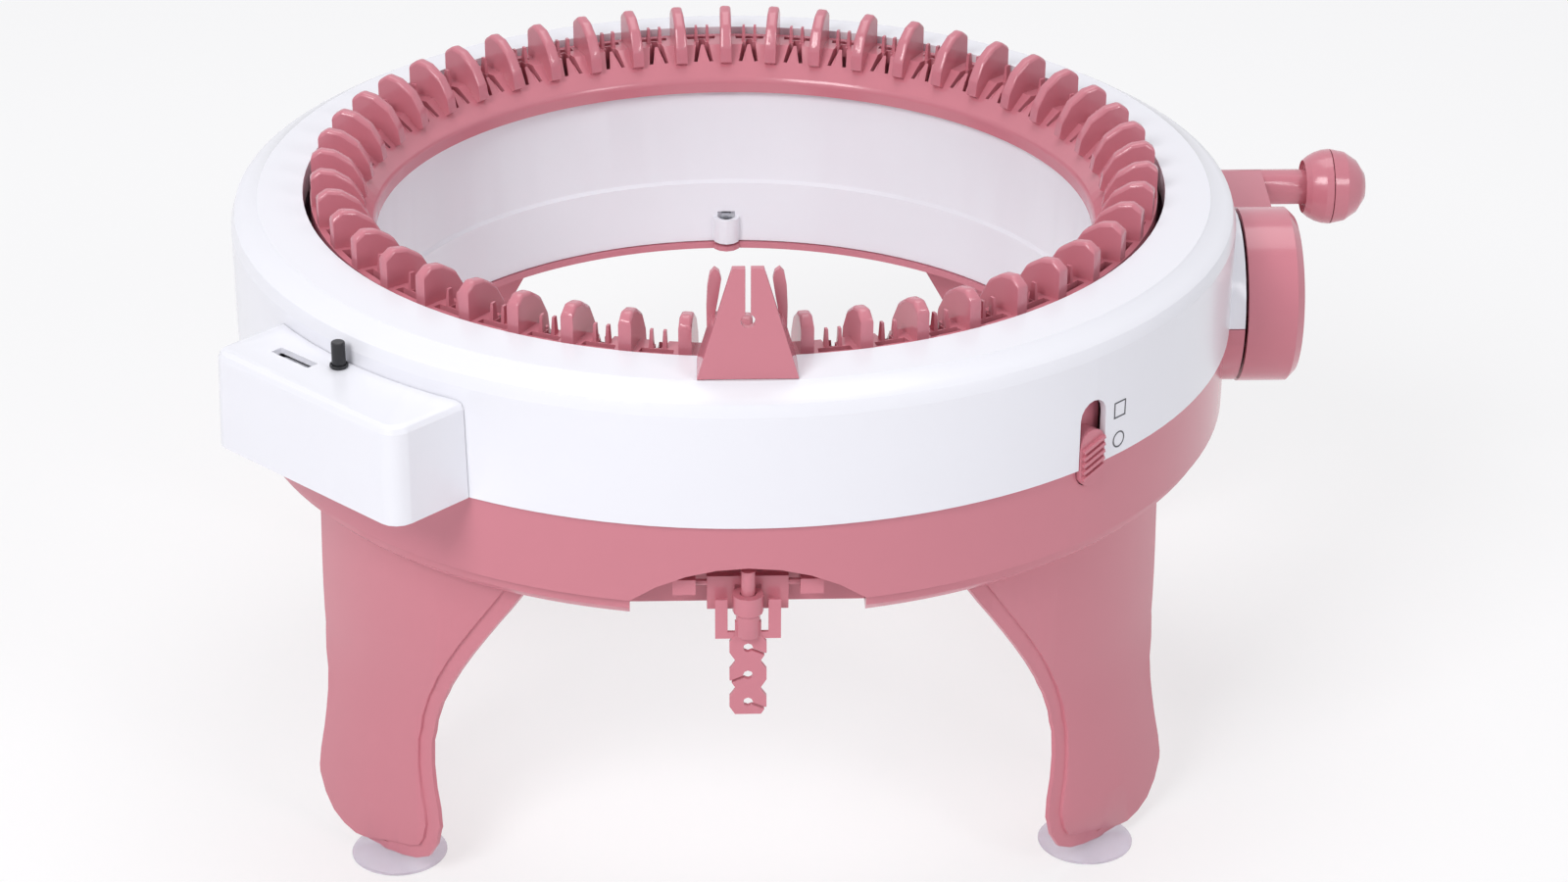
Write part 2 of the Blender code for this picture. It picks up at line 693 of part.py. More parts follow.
def make_upper_housing(axis):
    shoulder = rim_shoulder()
    inside = [(r - HOUSING_WALL, h - HOUSING_WALL) for r, h in (shoulder[-1], shoulder[1])]
    lip = OPENING_RADIUS + HOUSING_WALL
    lip_bottom = OPENING_HEIGHT - OPENING_LIP_DEPTH
    profile = [(OPENING_RADIUS, OPENING_HEIGHT), *shoulder, (BODY_RADIUS, HALF_GAP)]
    profile += [(BODY_RADIUS - HOUSING_WALL, HALF_GAP), *inside]
    profile += [(lip, OPENING_HEIGHT - HOUSING_WALL), (lip, lip_bottom)]
    profile += [(OPENING_RADIUS, lip_bottom)]
    housing = turned("upper_housing", profile, HOUSING_STEPS, axis)
    join(housing, half_boss("upper_boss", axis, 0.0, HALF_GAP))
    cut(housing, bush_hole("upper_bush_hole", axis))
    cut(housing, slider_slot("upper_slider_slot", axis))
    radius = FEEDER_PEG_RADIUS + CLEARANCE
    high = OPENING_HEIGHT + OVERRUN
    for index, (x, y) in enumerate(feeder_peg_places()):
        cut(housing, rod(f"feeder_peg_hole_{index + 1}", radius, lip_bottom, high, axis, (x, y, 0.0)))
    return as_part(housing, WHITE, axis)


def arch_outline():
    """Round arch over the tensioner, standing on the bottom of the outer wall."""
    half = ARCH_WIDTH / 2.0
    radius = (half * half + ARCH_RISE * ARCH_RISE) / (2.0 * ARCH_RISE)
    spread = math.asin(half / radius)
    crown = WALL_BOTTOM + ARCH_RISE
    curve = arc((0.0, crown - radius), radius, math.pi / 2.0 - spread, math.pi / 2.0 + spread, PROFILE_STEPS)
    return curve + [(-half, BASE_UNDERSIDE - OVERRUN), (half, BASE_UNDERSIDE - OVERRUN)]


def within_wall(obj, radius, axis):
    """Keeps what lies inside a round wall of the housing's own facets."""
    low = BASE_UNDERSIDE - 2.0 * OVERRUN
    round_wall = rod(obj.name + "_round", radius, low, OVERRUN, axis, steps=HOUSING_STEPS)
    return boolean(obj, round_wall, "INTERSECT")


def make_pocket(housing, axis):
    """Pocket behind the arch, with the two hinge tabs that hold the tension bracket."""
    wall = HOUSING_WALL
    side = POCKET_HALF_WIDTH + wall
    front = LOWER_RADIUS - wall / 2.0
    roof = POCKET_TOP + wall
    low = (-side, -BODY_RADIUS, FLOOR_TOP - wall / 2.0)
    block = box("pocket_block", low, (side, wall - POCKET_BACK, roof), axis)
    join(housing, within_wall(block, front, axis))
    arch_depth = LOWER_RADIUS - POCKET_BACK + OVERRUN
    arch_middle = -(LOWER_RADIUS + POCKET_BACK + OVERRUN) / 2.0
    cut(housing, plate("arch_cut", arch_outline(), arch_depth, axis, (0.0, arch_middle, 0.0), UPRIGHT_TURN))
    pocket_front = LOWER_RADIUS - 2.0 * wall
    low = (-POCKET_HALF_WIDTH, -BODY_RADIUS, BASE_UNDERSIDE - OVERRUN)
    hollow = box("pocket_cut", low, (POCKET_HALF_WIDTH, -POCKET_BACK, POCKET_TOP), axis)
    cut(housing, within_wall(hollow, pocket_front, axis))
    for index, sign in enumerate((-1.0, 1.0)):
        sides = sorted((sign * TAB_INNER_SIDE, sign * (TAB_INNER_SIDE + TAB_WIDTH)))
        back = wall / 2.0 - POCKET_BACK
        low = (sides[0], -TAB_FRONT, PIVOT_HEIGHT - TAB_DROP)
        high = (sides[1], back, PIVOT_HEIGHT + TAB_RISE)
        join(housing, box(f"hinge_tab_{index + 1}", low, high, axis))
    reach = TAB_INNER_SIDE + TAB_WIDTH / 2.0
    radius = PIVOT_PIN_RADIUS + CLEARANCE
    pivot = (0.0, -PIVOT_FRONT, PIVOT_HEIGHT)
    cut(housing, rod("hinge_pin_hole", radius, -reach, reach, axis, pivot, SHAFT_TURN))


def liner_boss_angles():
    step = math.tau / LINER_BOSS_COUNT
    return [math.pi / 2.0 + step * index for index in range(LINER_BOSS_COUNT)]


def base_hole(name, shank, axis, centre):
    """Clearance hole for a screw through the base floor."""
    low = BASE_UNDERSIDE - OVERRUN
    return rod(name, shank + CLEARANCE, low, FLOOR_TOP + OVERRUN, axis, centre, steps=SCREW_STEPS)


def make_lower_housing(axis):
    inner = LOWER_RADIUS - HOUSING_WALL
    step = LOWER_RADIUS - BASE_STEP
    profile = [(LOWER_RADIUS, -HALF_GAP), (LOWER_RADIUS, WALL_BOTTOM), (step, WALL_BOTTOM)]
    profile += [(step, BASE_UNDERSIDE + BASE_CHAMFER), (step - BASE_CHAMFER, BASE_UNDERSIDE)]
    profile += [(CENTRE_HOLE_RADIUS, BASE_UNDERSIDE), (CENTRE_HOLE_RADIUS, FLOOR_TOP)]
    profile += [(step - HOUSING_WALL, FLOOR_TOP), (step - HOUSING_WALL, WALL_BOTTOM + HOUSING_WALL)]
    profile += [(inner, WALL_BOTTOM + 2.0 * HOUSING_WALL), (inner, -HALF_GAP)]
    housing = turned("lower_housing", profile, HOUSING_STEPS, axis)
    join(housing, half_boss("lower_boss", axis, math.pi, -HALF_GAP))
    post_low = (POST_INNER_FACE, -POST_HALF_WIDTH, BASE_UNDERSIDE + BASE_FLOOR / 2.0)
    post_high = (POST_INNER_FACE + POST_THICKNESS, POST_HALF_WIDTH, POST_TOP_HEIGHT)
    join(housing, box("shaft_post", post_low, post_high, axis))
    hole_start = POST_INNER_FACE - OVERRUN
    shaft_hole = rod("shaft_post_hole", SHAFT_RADIUS + CLEARANCE, hole_start, BODY_RADIUS, axis)
    cut(housing, place(shaft_hole, axis, rotation=SHAFT_TURN))
    cut(housing, bush_hole("lower_bush_hole", axis))
    cut(housing, slider_slot("lower_slider_slot", axis))
    make_pocket(housing, axis)
    for index, angle in enumerate(liner_boss_angles()):
        centre = polar(LINER_RADIUS, angle)
        radius = LINER_BOSS_RADIUS + CLEARANCE
        low = BASE_UNDERSIDE + CLEARANCE
        join(housing, rod(f"base_lobe_{index + 1}", radius, low, FLOOR_TOP - CLEARANCE, axis, centre))
    for index, angle in enumerate(liner_boss_angles()):
        centre = polar(LINER_RADIUS, angle)
        cut(housing, base_hole(f"base_screw_hole_{index + 1}", SCREW_SHANK_RADIUS, axis, centre))
    for index, angle in enumerate(leg_angles()):
        centre = polar(leg_screw_radius(), angle)
        cut(housing, base_hole(f"leg_screw_hole_{index + 1}", LEG_SCREW_SHANK_RADIUS, axis, centre))
    return as_part(housing, PINK, axis)


def make_inner_liner(axis):
    top = BED_LIP_HEIGHT - CLEARANCE
    wide = LINER_RADIUS + LINER_STEP
    profile = [(LINER_OUTER_RADIUS, top), (LINER_OUTER_RADIUS, LINER_BOTTOM)]
    profile += [(LINER_RADIUS, LINER_BOTTOM), (LINER_RADIUS, LINER_STEP_HEIGHT)]
    profile += [(wide, LINER_STEP_HEIGHT + LINER_STEP), (wide, top)]
    liner = turned("inner_liner", profile, HOUSING_STEPS, axis)
    low = LINER_BOTTOM + CLEARANCE
    for index, angle in enumerate(liner_boss_angles()):
        centre = polar(LINER_RADIUS, angle)
        join(liner, rod(f"liner_boss_{index + 1}", LINER_BOSS_RADIUS, low, LINER_BOSS_TOP, axis, centre))
    recess = LINER_SCREW_HEAD_RADIUS + CLEARANCE
    recess_low = LINER_BOSS_TOP - LINER_SCREW_RECESS
    recess_high = LINER_BOSS_TOP + OVERRUN
    shank = SCREW_SHANK_RADIUS + CLEARANCE
    hole_low = LINER_BOTTOM - OVERRUN
    for index, angle in enumerate(liner_boss_angles()):
        centre = polar(LINER_RADIUS, angle)
        cut(liner, rod(f"liner_recess_{index + 1}", recess, recess_low, recess_high, axis, centre))
        name = f"liner_screw_hole_{index + 1}"
        cut(liner, rod(name, shank, hole_low, LINER_BOSS_TOP, axis, centre, steps=SCREW_STEPS))
    return as_part(liner, WHITE, axis)


def make_liner_screws(axis):
    seat = LINER_BOSS_TOP - LINER_SCREW_RECESS + CLEARANCE
    for index, angle in enumerate(liner_boss_angles()):
        profile = [(0.0, LINER_SCREW_HEAD_HEIGHT), (LINER_SCREW_HEAD_RADIUS, LINER_SCREW_HEAD_HEIGHT)]
        profile += [(LINER_SCREW_HEAD_RADIUS, 0.0), (SCREW_SHANK_RADIUS, 0.0)]
        profile += [(SCREW_SHANK_RADIUS, BASE_UNDERSIDE - seat), (0.0, BASE_UNDERSIDE - seat)]
        screw = turned(f"liner_screw_{index + 1}", profile, SCREW_STEPS, axis, closed=False)
        as_part(screw, STEEL, axis, polar(LINER_RADIUS, angle, seat))


def make_cam_ring(axis):
    """Ring whose top edge rises under the feeder, where the needles' butts ride up it."""
    profile = [(CAM_OUTER_RADIUS, CAM_LOW_HEIGHT), (CAM_OUTER_RADIUS, LINER_BOTTOM)]
    profile += [(CAM_INNER_RADIUS, LINER_BOTTOM), (CAM_INNER_RADIUS, CAM_LOW_HEIGHT)]
    ring = turned("cam_ring", profile, HOUSING_STEPS, axis)
    shape = bmesh.new()
    shape.from_mesh(bpy.data.meshes.new_from_object(ring.evaluated_get(bpy.context.evaluated_depsgraph_get())))
    ring.modifiers.clear()
    for vertex in shape.verts:
        if vertex.co.z > LINER_BOTTOM + CLEARANCE:
            angle = math.atan2(vertex.co.y, vertex.co.x)
            away = abs(math.remainder(angle - FEEDER_ANGLE, math.tau))
            vertex.co.z = CAM_LOW_HEIGHT + CAM_LIFT * smooth(1.0 - away / CAM_LOBE_ANGLE)
    shape.to_mesh(ring.data)
    shape.free()
    return as_part(ring, NYLON, axis)


def fin_outline():
    return [
        (FIN_OUTER_RADIUS - FIN_REACH * inward, FIN_FOOT_HEIGHT + FIN_HEIGHT * up)
        for inward, up in FIN_OUTLINE_SHARES
    ]


def make_prong(name, bed, offset):
    """Thin upright prong beside a needle slot, narrower at its tip."""
    low = (PRONG_RADIUS - PRONG_DEPTH / 2.0, offset - PRONG_WIDTH / 2.0, BED_TOP_HEIGHT - BED_WALL / 2.0)
    high = (PRONG_RADIUS + PRONG_DEPTH / 2.0, offset + PRONG_WIDTH / 2.0, PRONG_HEIGHT)
    prong = box(name, low, high, bed)
    for vertex in prong.data.vertices:
        if vertex.co.z > BED_TOP_HEIGHT:
            vertex.co.x = PRONG_RADIUS + (vertex.co.x - PRONG_RADIUS) * PRONG_TIP_SHARE
            vertex.co.y = offset + (vertex.co.y - offset) * PRONG_TIP_SHARE
    prong.data.transform(turn_about_z(NEEDLE_ANGLE / 2.0))
    return repeat_around(prong, NEEDLE_COUNT)


def make_needle_bed(bed):
    """Pink ring that turns: lip, cone with needle slots, fins and prongs."""
    inner_wall = BED_INNER_RADIUS + BED_WALL
    band_top = BED_LIP_HEIGHT + BED_BAND_HEIGHT
    skirt_bottom = GEAR_RING_TOP_HEIGHT + CLEARANCE
    under = BED_TOP_HEIGHT - BED_WALL
    profile = [(BED_OUTER_RADIUS, BED_TOP_HEIGHT), (BED_OUTER_RADIUS, skirt_bottom)]
    profile += [(BED_OUTER_RADIUS - BED_WALL, skirt_bottom), (BED_OUTER_RADIUS - BED_WALL, under)]
    profile += [(inner_wall, BED_LIP_HEIGHT), (BED_INNER_RADIUS, BED_LIP_HEIGHT)]
    profile += [(BED_INNER_RADIUS, band_top), (BED_CONE_TOP_RADIUS, BED_TOP_HEIGHT)]
    ring = turned("needle_bed", profile, NEEDLE_COUNT, bed)
    fin = plate("bed_fins", fin_outline(), FIN_THICKNESS, bed, rotation=UPRIGHT_TURN)
    join(ring, repeat_around(fin, NEEDLE_COUNT))
    join(ring, make_prong("bed_prongs_left", bed, -PRONG_SPACING / 2.0))
    join(ring, make_prong("bed_prongs_right", bed, PRONG_SPACING / 2.0))
    half = SLOT_WIDTH / 2.0
    low = (SLOT_INNER_RADIUS, -half, BED_LIP_HEIGHT)
    slot = box("bed_slots", low, (SLOT_OUTER_RADIUS, half, PRONG_HEIGHT), bed)
    slot.data.transform(turn_about_z(NEEDLE_ANGLE / 2.0))
    cut(ring, repeat_around(slot, NEEDLE_COUNT))
    return as_part(ring, PINK, bed)


def drum_top():
    """Height at which the drum seats under the needle bed's cone."""
    inner_wall = BED_INNER_RADIUS + BED_WALL
    width = BED_OUTER_RADIUS - BED_WALL - inner_wall
    rise = BED_TOP_HEIGHT - BED_WALL - BED_LIP_HEIGHT
    return BED_LIP_HEIGHT + rise * (DRUM_INNER_RADIUS - inner_wall) / width - CLEARANCE


def drum_outline():
    """Round outline with a groove facing outward for each needle's shank."""
    half_groove = GROOVE_WIDTH / 2.0 / DRUM_OUTER_RADIUS
    groove_floor = DRUM_OUTER_RADIUS - GROOVE_DEPTH
    outline = []
    for index in range(NEEDLE_COUNT):
        middle = NEEDLE_ANGLE * index + NEEDLE_ANGLE / 2.0
        start, end = middle - half_groove, middle + half_groove
        corners = (DRUM_OUTER_RADIUS, start), (groove_floor, start), (groove_floor, end), (DRUM_OUTER_RADIUS, end)
        outline += [(radius * math.cos(angle), radius * math.sin(angle)) for radius, angle in corners]
    return outline


def make_needle_drum(bed):
    """White drum with an upright groove for each needle's shank."""
    top = drum_top()
    bottom = LINER_BOSS_TOP + DRUM_FLOOR_GAP
    drum = plate("needle_drum", drum_outline(), top - bottom, bed, (0.0, 0.0, (top + bottom) / 2.0))
    drum.data.transform(Matrix.Translation(drum.location))
    place(drum, bed)
    bore = rod("drum_bore", DRUM_INNER_RADIUS, bottom - OVERRUN, top + OVERRUN, bed, steps=HOUSING_STEPS)
    cut(drum, bore)
    return as_part(drum, WHITE, bed)


def make_crown_teeth(bed):
    """Teeth under the gear ring, narrower at their tips, a gap facing the pinion's top tooth."""
    tip = PINION_PITCH_RADIUS - MODULE
    root = GEAR_RING_UNDERSIDE + GEAR_RING_THICKNESS / 2.0
    half = CROWN_TOOTH_WIDTH / 2.0
    inner = PINION_INNER_FACE + CLEARANCE
    outer = GEAR_RING_RADIUS - CLEARANCE
    tooth = box("crown_teeth", (inner, -half, tip), (outer, half, root), bed)
    for vertex in tooth.data.vertices:
        spread = (vertex.co.z - PINION_PITCH_RADIUS) * math.tan(PRESSURE_ANGLE)
        vertex.co.y *= (half + spread) / half
    tooth.data.transform(turn_about_z(math.pi / CROWN_TEETH_COUNT))
    return repeat_around(tooth, CROWN_TEETH_COUNT)


def make_crown_gear(bed):
    """Ring of downward teeth under the needle bed's skirt, driven by the crank's pinion."""
    profile = [(GEAR_RING_RADIUS, GEAR_RING_TOP_HEIGHT), (GEAR_RING_RADIUS, GEAR_RING_UNDERSIDE)]
    profile += [(GEAR_RING_BORE_RADIUS, GEAR_RING_UNDERSIDE)]
    profile += [(GEAR_RING_BORE_RADIUS, GEAR_RING_TOP_HEIGHT)]
    gear = turned("crown_gear", profile, NEEDLE_COUNT, bed)
    join(gear, make_crown_teeth(bed))
    return as_part(gear, NYLON, bed)


def involute_point(base, radius):
    """Polar angle of an involute flank at a radius, counted from where it leaves its base circle."""
    roll = math.sqrt(max(radius * radius / (base * base) - 1.0, 0.0))
    return roll - math.atan(roll)


def pinion_outline():
    """Spur gear outline with involute flanks and one tooth pointing up."""
    base = PINION_PITCH_RADIUS * math.cos(PRESSURE_ANGLE)
    half_tooth = math.tau * PINION_TOOTH_SHARE / (2.0 * PINION_TEETH_COUNT)
    centre_to_flank = half_tooth + involute_point(base, PINION_PITCH_RADIUS)
    flank = [(PINION_ROOT_RADIUS, centre_to_flank)]
    for step in range(FLANK_STEPS + 1):
        radius = base + (PINION_TIP_RADIUS - base) * step / FLANK_STEPS
        flank.append((radius, centre_to_flank - involute_point(base, radius)))
    outline = []
    for index in range(PINION_TEETH_COUNT):
        middle = math.pi / 2.0 + math.tau * index / PINION_TEETH_COUNT
        outline += [(r * math.cos(middle - a), r * math.sin(middle - a)) for r, a in flank]
        outline += [(r * math.cos(middle + a), r * math.sin(middle + a)) for r, a in reversed(flank)]
    return outline


def make_pinion(crank):
    middle = (GEAR_PITCH_RADIUS, 0.0, 0.0)
    pinion = plate("drive_pinion", pinion_outline(), GEAR_FACE, crank, middle, SIDEWAYS_TURN)
    pinion.data.transform(Matrix.LocRotScale(pinion.location, pinion.rotation_euler, None))
    place(pinion, crank)
    hub_end = PINION_OUTER_FACE + PINION_HUB_LENGTH
    hub = rod("pinion_hub", PINION_HUB_RADIUS, GEAR_PITCH_RADIUS, hub_end, crank, rotation=SHAFT_TURN)
    join(pinion, hub)
    bore = SHAFT_RADIUS + CLEARANCE
    low = PINION_INNER_FACE - OVERRUN
    cut(pinion, rod("pinion_bore", bore, low, hub_end + OVERRUN, crank, rotation=SHAFT_TURN))
    return as_part(pinion, NYLON, crank)


def make_crank_shaft(crank):
    end = DISC_OUTER_FACE - DISC_WALL - 2.0 * CLEARANCE
    shaft = rod("crank_shaft", SHAFT_RADIUS, SHAFT_INNER_END, end, crank)
    return as_part(shaft, STEEL, crank, rotation=SHAFT_TURN)


def bush_seat():
    """Where the bush's flange stops, just inside the lower housing's round wall."""
    inner = LOWER_RADIUS - HOUSING_WALL
    return math.sqrt(inner * inner - BUSH_FLANGE_RADIUS * BUSH_FLANGE_RADIUS) - RUNNING_GAP


def make_crank_bush(axis):
    bore = SHAFT_RADIUS + CLEARANCE
    seat = bush_seat()
    flange_end = seat - BUSH_FLANGE_THICKNESS
    profile = [(BUSH_RADIUS, BOSS_FACE), (BUSH_RADIUS, seat), (BUSH_FLANGE_RADIUS, seat)]
    profile += [(BUSH_FLANGE_RADIUS, flange_end), (bore, flange_end), (bore, BOSS_FACE)]
    return as_part(turned("crank_bush", profile, SMALL_STEPS, axis), NYLON, axis, rotation=SHAFT_TURN)


def crank_direction():
    """Unit vector of the crank arm in the crank's own YZ plane."""
    return math.cos(CRANK_TILT_ANGLE), math.sin(CRANK_TILT_ANGLE)


def stem_place():
    along, up = crank_direction()
    return (0.0, CRANK_LENGTH * along, CRANK_LENGTH * up)


def make_crank(crank):
    """Disc with a hollow back, its hub, the arm and the stem for the knob."""
    floor = DISC_OUTER_FACE - DISC_WALL
    rim = DISC_RADIUS - DISC_WALL
    bore = SHAFT_RADIUS + CLEARANCE
    hub_face = DISC_INNER_FACE + DISC_HUB_RECESS
    profile = [(0.0, DISC_OUTER_FACE), (DISC_RADIUS - DISC_CHAMFER, DISC_OUTER_FACE)]
    profile += [(DISC_RADIUS, DISC_OUTER_FACE - DISC_CHAMFER), (DISC_RADIUS, DISC_INNER_FACE)]
    profile += [(rim, DISC_INNER_FACE)]
    profile += [(rim, floor), (DISC_HUB_RADIUS, floor), (DISC_HUB_RADIUS, hub_face), (bore, hub_face)]
    profile += [(bore, floor - CLEARANCE), (0.0, floor - CLEARANCE)]
    disc = turned("crank", profile, CRANK_STEPS, crank, rotation=SHAFT_TURN, closed=False)
    along, up = crank_direction()
    side = Vector((-up, along)) * ARM_HALF_HEIGHT
    start = Vector((along, up)) * (rim + DISC_WALL / 2.0)
    end = Vector((along, up)) * CRANK_LENGTH
    tip_start = CRANK_TILT_ANGLE - math.pi / 2.0
    tip = arc(end, ARM_HALF_HEIGHT, tip_start, tip_start + math.pi, PROFILE_STEPS)
    outline = [tuple(start - side), *tip, tuple(start + side)]
    arm_middle = DISC_OUTER_FACE - CLEARANCE - ARM_THICKNESS / 2.0
    join(disc, plate("crank_arm", outline, ARM_THICKNESS, crank, (arm_middle, 0.0, 0.0), SIDEWAYS_TURN))
    stem_start = DISC_OUTER_FACE - ARM_THICKNESS / 2.0
    join(disc, rod("crank_stem", ARM_HALF_HEIGHT, stem_start, STEM_END, crank, stem_place(), SHAFT_TURN))
    axle_end = KNOB_CENTRE - CLEARANCE
    axle = rod("knob_axle", KNOB_AXLE_RADIUS, stem_start, axle_end, crank, stem_place(), SHAFT_TURN)
    join(disc, axle)
    bore_radius = KNOB_SCREW_SHANK_RADIUS + CLEARANCE
    bore_start = axle_end - KNOB_SCREW_LENGTH - CLEARANCE
    cut(disc, rod("axle_bore", bore_radius, bore_start, axle_end + OVERRUN, crank, stem_place(), SHAFT_TURN))
    return as_part(disc, PINK, crank, rotation=SHAFT_TURN)


def ball_arc(start_height, end_height, steps):
    """Points down the ball's outline between two heights along the knob's axis."""
    start = math.acos(start_height / KNOB_RADIUS)
    end = math.acos(end_height / KNOB_RADIUS)
    angles = [start + (end - start) * i / steps for i in range(steps + 1)]
    return [(KNOB_RADIUS * math.sin(a), KNOB_RADIUS * math.cos(a)) for a in angles]


def make_knob(knob):
    """Ball in two halves that spins on the crank's axle; heights run outward along the axle."""
    mouth = -math.sqrt(KNOB_RADIUS * KNOB_RADIUS - KNOB_MOUTH_RADIUS * KNOB_MOUTH_RADIUS)
    bore = KNOB_AXLE_RADIUS + CLEARANCE
    step = STEM_END + CLEARANCE - KNOB_CENTRE
    inner = ball_arc(-HALF_GAP, mouth, CORNER_STEPS)
    inner += [(KNOB_MOUTH_RADIUS - HALF_GAP, step), (bore, step), (bore, -HALF_GAP)]
    as_part(turned("knob_inner_half", inner, KNOB_STEPS, knob), PINK, knob)
    cavity = KNOB_SCREW_HEAD_RADIUS + RUNNING_GAP
    outer = ball_arc(KNOB_RADIUS, HALF_GAP, CORNER_STEPS)
    outer += [(cavity, HALF_GAP), (cavity, KNOB_CAVITY_DEPTH), (0.0, KNOB_CAVITY_DEPTH)]
    as_part(turned("knob_outer_half", outer, KNOB_STEPS, knob, closed=False), PINK, knob)


def make_knob_screw(crank):
    """Screw in the axle's end whose head holds the knob on."""
    along_x = KNOB_CENTRE + CLEARANCE
    x, y, z = stem_place()
    head = KNOB_SCREW_HEAD_HEIGHT
    shank = KNOB_SCREW_SHANK_RADIUS
    profile = [(0.0, head), (KNOB_SCREW_HEAD_RADIUS, head), (KNOB_SCREW_HEAD_RADIUS, 0.0), (shank, 0.0)]
    profile += [(shank, -KNOB_SCREW_LENGTH), (0.0, -KNOB_SCREW_LENGTH)]
    screw = turned("knob_screw", profile, SCREW_STEPS, crank, closed=False)
    return as_part(screw, STEEL, crank, (x + along_x, y, z), SHAFT_TURN)


def feeder_outline(inset, bottom, top):
    """Slanted sides of the feeder between two heights, drawn in by an inset."""
    slope = (FEEDER_BASE_HALF_WIDTH - FEEDER_TOP_HALF_WIDTH) / (FEEDER_TOP_HEIGHT - FEEDER_BASE_HEIGHT)
    low_half = FEEDER_BASE_HALF_WIDTH - slope * (bottom - FEEDER_BASE_HEIGHT) - inset
    high_half = FEEDER_BASE_HALF_WIDTH - slope * (top - FEEDER_BASE_HEIGHT) - inset
    return [(-low_half, bottom), (low_half, bottom), (high_half, top), (-high_half, top)]


def make_yarn_feeder(axis):
    """Front plate with a keyhole slot, side walls and two horns behind it, on two pegs."""
    depth = FEEDER_FRONT - FEEDER_BACK
    middle = -(FEEDER_FRONT + FEEDER_BACK) / 2.0
    full = feeder_outline(0.0, FEEDER_BASE_HEIGHT, FEEDER_TOP_HEIGHT)
    feeder = plate("yarn_feeder", full, depth, axis, (0.0, middle, 0.0), UPRIGHT_TURN)
    feeder.data.transform(Matrix.LocRotScale(feeder.location, feeder.rotation_euler, None))
    place(feeder, axis)
    wall_back = FEEDER_WALL - FEEDER_FRONT
    inside = feeder_outline(FEEDER_WALL, FEEDER_BASE_HEIGHT + FEEDER_FLOOR, FEEDER_SIDE_TOP_HEIGHT + OVERRUN)
    hollow_depth = FEEDER_FRONT - FEEDER_WALL - FEEDER_BACK + OVERRUN
    hollow_middle = wall_back + hollow_depth / 2.0
    cut(feeder, plate("feeder_hollow", inside, hollow_depth, axis, (0.0, hollow_middle, 0.0), UPRIGHT_TURN))
    wide = FEEDER_BASE_HALF_WIDTH + OVERRUN
    low = (-wide, wall_back, FEEDER_SIDE_TOP_HEIGHT)
    high = (wide, OVERRUN - FEEDER_BACK, FEEDER_TOP_HEIGHT + OVERRUN)
    cut(feeder, box("feeder_top_cut", low, high, axis))
    half = FEEDER_SLOT_WIDTH / 2.0
    opening = math.asin(half / FEEDER_EYE_RADIUS)
    eye = arc(
        (0.0, FEEDER_EYE_HEIGHT),
        FEEDER_EYE_RADIUS,
        math.pi / 2.0 + opening,
        math.pi / 2.0 - opening + math.tau,
        2 * PROFILE_STEPS,
    )
    keyhole = eye + [(half, FEEDER_TOP_HEIGHT + OVERRUN), (-half, FEEDER_TOP_HEIGHT + OVERRUN)]
    slot_depth = FEEDER_WALL + 2.0 * OVERRUN
    slot_middle = -FEEDER_FRONT + FEEDER_WALL / 2.0
    cut(feeder, plate("feeder_keyhole", keyhole, slot_depth, axis, (0.0, slot_middle, 0.0), UPRIGHT_TURN))
    for index, sign in enumerate((-1.0, 1.0)):
        horn = [
            (sign * (HORN_OUTER_OFFSET - HORN_WIDTH * (1.0 - across)), HORN_FOOT_HEIGHT + HORN_HEIGHT * up)
            for across, up in HORN_OUTLINE_SHARES
        ]
        centre = (0.0, -FEEDER_BACK - CLEARANCE - HORN_THICKNESS / 2.0, 0.0)
        join(feeder, plate(f"feeder_horn_{index + 1}", horn, HORN_THICKNESS, axis, centre, UPRIGHT_TURN))
    cut(feeder, rim_relief(axis))
    for index, (x, y) in enumerate(feeder_peg_places()):
        low_end = OPENING_HEIGHT - FEEDER_PEG_LENGTH
        high_end = OPENING_HEIGHT + 2.0 * CLEARANCE
        peg = rod(f"feeder_peg_{index + 1}", FEEDER_PEG_RADIUS, low_end, high_end, axis, (x, y, 0.0))
        join(feeder, peg)
    return as_part(feeder, PINK, axis)


def rim_relief(axis):
    """Solid just larger than the rim's sloping top, which shapes the feeder's underside."""
    bottom = FEEDER_BASE_HEIGHT - OVERRUN
    shoulder = [(radius, height + CLEARANCE) for radius, height in rim_shoulder() if height > bottom]
    edge = shoulder[-1][0]
    profile = [(0.0, OPENING_HEIGHT + CLEARANCE), (OPENING_RADIUS, OPENING_HEIGHT + CLEARANCE)]
    profile += [*shoulder, (edge, bottom), (0.0, bottom)]
    return turned("rim_relief", profile, HOUSING_STEPS, axis, closed=False)


def counter_frame():
    """Empty at the middle of the counter, X pointing outward and Y along its front."""
    return add_empty("counter_frame", (0.0, 0.0, 0.0), AXIS, (0.0, 0.0, COUNTER_ANGLE))


def rounded_front(front, half, corner, back):
    """Outline with two round front corners, seen from above, outward being +X."""
    right = arc((front - corner, half - corner), corner, 0.0, math.pi / 2.0, CORNER_STEPS)
    left = arc((front - corner, corner - half), corner, -math.pi / 2.0, 0.0, CORNER_STEPS)
    return right + [(back, half), (back, -half)] + left


def wall_relief(name, frame):
    """Drum that cuts counter pieces to the housing's round wall."""
    radius = BODY_RADIUS + CLEARANCE
    low = COUNTER_BOTTOM_HEIGHT - OVERRUN
    return rod(name, radius, low, COUNTER_TOP_HEIGHT + OVERRUN, frame, steps=2 * HOUSING_STEPS)


